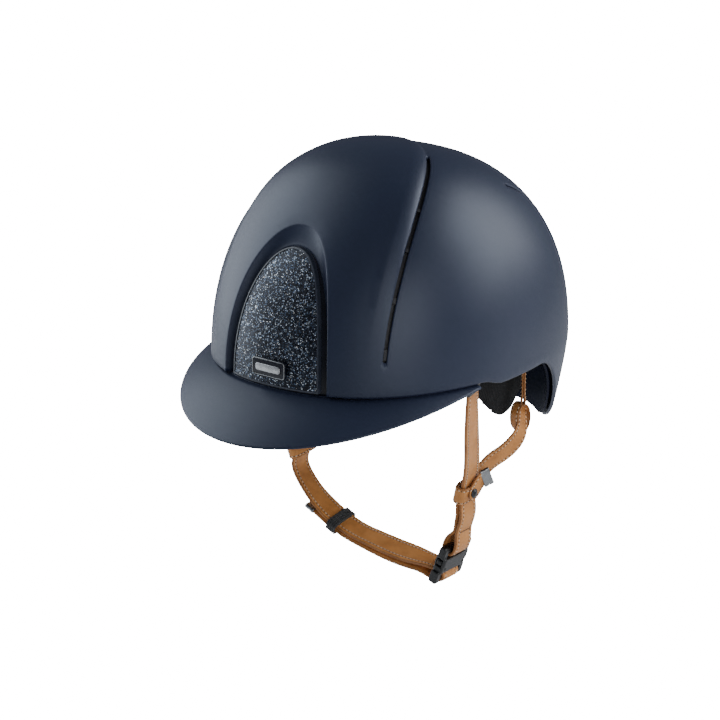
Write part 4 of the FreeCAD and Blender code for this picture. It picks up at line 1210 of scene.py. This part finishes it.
def keeper():
    """Ribbed elastic band round both layers of the chin strap."""
    turn = math.radians(KEEPER_BEARING)
    along = np.array((math.cos(turn), 0.0, math.sin(turn)))
    tilt = math.radians(15.0)
    level = np.array((0.0, 1.0, 0.0))
    across = level * math.cos(tilt) + UPWARDS * math.sin(tilt)
    across = unit(across - along * np.dot(across, along))
    through = np.cross(across, along)
    rows = ring_rows(keeper_arc(KEEPER_RADIUS + 0.5 * LAYER_STEP, 0.0), 10.6, 4.2, across, through, 5.0, 96)
    u = np.linspace(-4.1, 4.1, 61)
    ribs = 0.42 + 0.26 * np.cos(2.0 * np.pi * u / 1.72)
    ribs = ribs - 0.5 * smooth((np.abs(u) - 3.5) / 0.6)
    section = np.concatenate([np.stack([u, 0.15 + ribs], 1), np.stack([u[::-1], -0.15 - ribs[::-1]], 1)])
    strap_piece("keeper_elastic", rows, ["strap_keeper"], (section, [False] * len(section)),
                closed=True, stitches=(), finish=[M["elastic"], M["elastic"]],
                body="keeper", step=0.8)


# ---------------------------------------------------------------- buckle and pads from CAD shapes
BUCKLE_VOXEL = 0.33          # mm
BUCKLE_SMOOTHING = 11        # passes
CLOTH_FRAMES = 20


def remeshed(node, name, voxel, smoothing, material):
    """A copy of a CAD node's shape with its edges rounded, as a moulding or a sewn pad has them."""
    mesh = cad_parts[node].data.copy()
    piece = bpy.data.objects.new(name, mesh)
    bpy.context.scene.collection.objects.link(piece)
    mesh.materials.clear()
    mesh.materials.append(material)
    mesh.polygons.foreach_set("material_index", np.zeros(len(mesh.polygons), np.int32))
    remesh = piece.modifiers.new("remesh", "REMESH")
    remesh.mode = "VOXEL"
    remesh.voxel_size = voxel * MM
    remesh.use_smooth_shade = True
    soften = piece.modifiers.new("soften", "SMOOTH")
    soften.factor = 0.5
    soften.iterations = smoothing
    applied(piece)
    return piece


def applied(piece):
    """Turns a piece's modifiers into its mesh."""
    held = piece.evaluated_get(bpy.context.evaluated_depsgraph_get())
    mesh = bpy.data.meshes.new_from_object(held)
    piece.modifiers.clear()
    piece.data = mesh
    mesh.polygons.foreach_set("use_smooth", np.ones(len(mesh.polygons), bool))


def get_points(mesh):
    data = np.empty(len(mesh.vertices) * 3)
    mesh.vertices.foreach_get("co", data)
    return data.reshape(-1, 3)


def set_points(mesh, points):
    mesh.vertices.foreach_set("co", np.asarray(points).reshape(-1))
    mesh.update()


def buckle():
    for node, name, body in (
            ("buckle_socket", "socket_moulded", "chin_loop"), ("buckle_plug", "plug_moulded", "buckle_plug"),
            ("buckle_prong_front", "prong_front_moulded", "prong_front"),
            ("buckle_prong_rear", "prong_rear_moulded", "prong_rear")):
        piece = remeshed(node, name, BUCKLE_VOXEL, BUCKLE_SMOOTHING, M["buckle"])
        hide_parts(node)
        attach(piece, body)


def pad(node, name, voxel, cap, material):
    """A fabric pad: the CAD shape puffed by a short cloth simulation, held near its place."""
    piece = remeshed(node, name, voxel, 3, material)
    rest = get_points(piece.data)
    cloth = piece.modifiers.new("cloth", "CLOTH")
    cloth.settings.use_pressure = True
    cloth.settings.uniform_pressure_force = 4.0
    cloth.settings.effector_weights.gravity = 0.0
    cloth.settings.quality = 5
    cloth.point_cache.frame_start = 1
    cloth.point_cache.frame_end = CLOTH_FRAMES
    for frame_number in range(1, CLOTH_FRAMES + 1):
        bpy.context.scene.frame_set(frame_number)
    applied(piece)
    bpy.context.scene.frame_set(1)
    moved = get_points(piece.data) - rest
    reach = np.linalg.norm(moved, axis=1, keepdims=True)
    limit = cap * MM
    moved *= np.minimum(1.0, limit / np.maximum(reach, 1e-9))
    set_points(piece.data, rest + moved)
    divide = piece.modifiers.new("divide", "SUBSURF")
    divide.levels = divide.render_levels = 1
    applied(piece)
    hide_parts(node)
    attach(piece, "helmet")


def pads():
    for node, name, voxel, cap in (
            ("ear_pad_left", "ear_lobe_left", 2.0, 0.9), ("ear_pad_right", "ear_lobe_right", 2.0, 0.9),
            ("headband_pad", "headband_knit", 2.6, 0.8), ("crown_pad", "crown_knit", 2.6, 0.8)):
        pad(node, name, voxel, cap, M["knit"])


# ---------------------------------------------------------------- stage, light and camera
AZIMUTH = math.radians(37.873)
ELEVATION = math.radians(18.25)
COS_A, SIN_A = math.cos(AZIMUTH), math.sin(AZIMUTH)
COS_E, SIN_E = math.cos(ELEVATION), math.sin(ELEVATION)
RIGHT = Vector((COS_A, SIN_A, 0.0))
UP = Vector((-SIN_A * SIN_E, COS_A * SIN_E, COS_E))
BACK = Vector((SIN_A * COS_E, -COS_A * COS_E, SIN_E))
LENS = 133.0                 # mm
DISTANCE = 1.8               # of the camera, metres
ASIDE, DOWN = 0.01658, 0.01013
FLOOR_HALF = 3.0
FLOOR_Z = -0.30
PAPER_WHITE = 22.0           # strength at which the background comes out white


def camera():
    data = bpy.data.cameras.new("camera")
    data.sensor_width = 36.0
    data.lens = LENS
    view = bpy.data.objects.new("camera", data)
    bpy.context.scene.collection.objects.link(view)
    view.location = BACK * DISTANCE - RIGHT * ASIDE - UP * DOWN
    view.rotation_euler = BACK.to_track_quat("Z", "Y").to_euler()
    bpy.context.scene.camera = view


def softbox(name, place, target, width, height, power, colour=(1.0, 1.0, 1.0)):
    data = bpy.data.lights.new(name, "AREA")
    data.shape = "RECTANGLE"
    data.size, data.size_y = width, height
    data.energy = power
    data.color = colour
    lamp = bpy.data.objects.new(name, data)
    bpy.context.scene.collection.objects.link(lamp)
    lamp.location = place
    lamp.rotation_euler = (Vector(place) - Vector(target)).to_track_quat("Z", "Y").to_euler()


def seen_from(right, up, back):
    """A place given along the camera's right, up and back directions, in metres."""
    return RIGHT * right + UP * up + BACK * back


def studio():
    world = bpy.data.worlds.new("studio")
    bpy.context.scene.world = world
    world.use_nodes = True
    tree = world.node_tree
    tree.nodes.clear()
    out = tree.nodes.new("ShaderNodeOutputWorld")
    mixer = tree.nodes.new("ShaderNodeMixShader")
    path = tree.nodes.new("ShaderNodeLightPath")
    room, white = tree.nodes.new("ShaderNodeBackground"), tree.nodes.new("ShaderNodeBackground")
    room.inputs["Color"].default_value = (0.80, 0.84, 0.92, 1.0)
    room.inputs["Strength"].default_value = 0.15
    white.inputs["Color"].default_value = (1.0, 1.0, 1.0, 1.0)
    white.inputs["Strength"].default_value = PAPER_WHITE
    tree.links.new(path.outputs["Is Camera Ray"], mixer.inputs["Fac"])
    tree.links.new(room.outputs["Background"], mixer.inputs[1])
    tree.links.new(white.outputs["Background"], mixer.inputs[2])
    tree.links.new(mixer.outputs["Shader"], out.inputs["Surface"])
    centre = (0.0, 0.0, 0.02)
    softbox("key_left", seen_from(-1.05, 0.58, -0.30), centre, 1.2, 1.5, 20.5, (0.88, 0.94, 1.0))
    softbox("key_right", seen_from(1.10, 0.66, 0.02), centre, 1.0, 1.1, 18.0, (0.95, 0.97, 1.0))
    softbox("fill_front", seen_from(0.6, -0.1, 1.5), (0.03, 0.0, -0.04), 1.0, 1.0, 10.0)
    floor = bpy.data.meshes.new("floor")
    corners = [(x * FLOOR_HALF, y * FLOOR_HALF, FLOOR_Z) for x, y in ((-1, -1), (1, -1), (1, 1), (-1, 1))]
    floor.from_pydata(corners, [], [(0, 1, 2, 3)])
    plate = bpy.data.objects.new("floor", floor)
    bpy.context.scene.collection.objects.link(plate)
    finish = bpy.data.materials.new("paper")
    finish.use_nodes = True
    tree = finish.node_tree
    paper = tree.nodes["Principled BSDF"]
    paper.inputs["Base Color"].default_value = (0.90, 0.90, 0.90, 1.0)
    paper.inputs["Roughness"].default_value = 0.9
    lit = tree.nodes.new("ShaderNodeEmission")
    lit.inputs["Strength"].default_value = PAPER_WHITE
    mixer, path = tree.nodes.new("ShaderNodeMixShader"), tree.nodes.new("ShaderNodeLightPath")
    tree.links.new(path.outputs["Is Camera Ray"], mixer.inputs["Fac"])
    tree.links.new(paper.outputs["BSDF"], mixer.inputs[1])
    tree.links.new(lit.outputs["Emission"], mixer.inputs[2])
    tree.links.new(mixer.outputs["Shader"], tree.nodes["Material Output"].inputs["Surface"])
    floor.materials.append(finish)


CAD_FINISH = {
    "front_bezel": "bezel", "front_panel": "glitter", "front_panel_frame": "frame",
    "side_vent_grille_left": "grille", "side_vent_grille_right": "grille",
    "rear_vent_grille_left": "grille", "rear_vent_grille_right": "grille",
    # The nape guard's inner lacquer is a much darker copy of the shell's, as painted shade.
    "foam_liner": "foam", "hook_and_loop_discs": "hook", "visor_screws": "dark_steel", "nape_guard": "inner",
    "front_anchor_plate_left": "dark_steel", "front_anchor_plate_right": "dark_steel",
    "rear_anchor_plate_left": "dark_steel", "rear_anchor_plate_right": "dark_steel",
    "anchor_rivets": "dark_steel",
}


def finish_cad():
    for node, key in CAD_FINISH.items():
        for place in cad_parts[node].material_slots:
            place.material = M[key]


finish_cad()
shell_piece()
peak_piece()
badge_pieces()
front_straps()
harness_tops()
junctions()
keeper()
buckle()
pads()
studio()
camera()
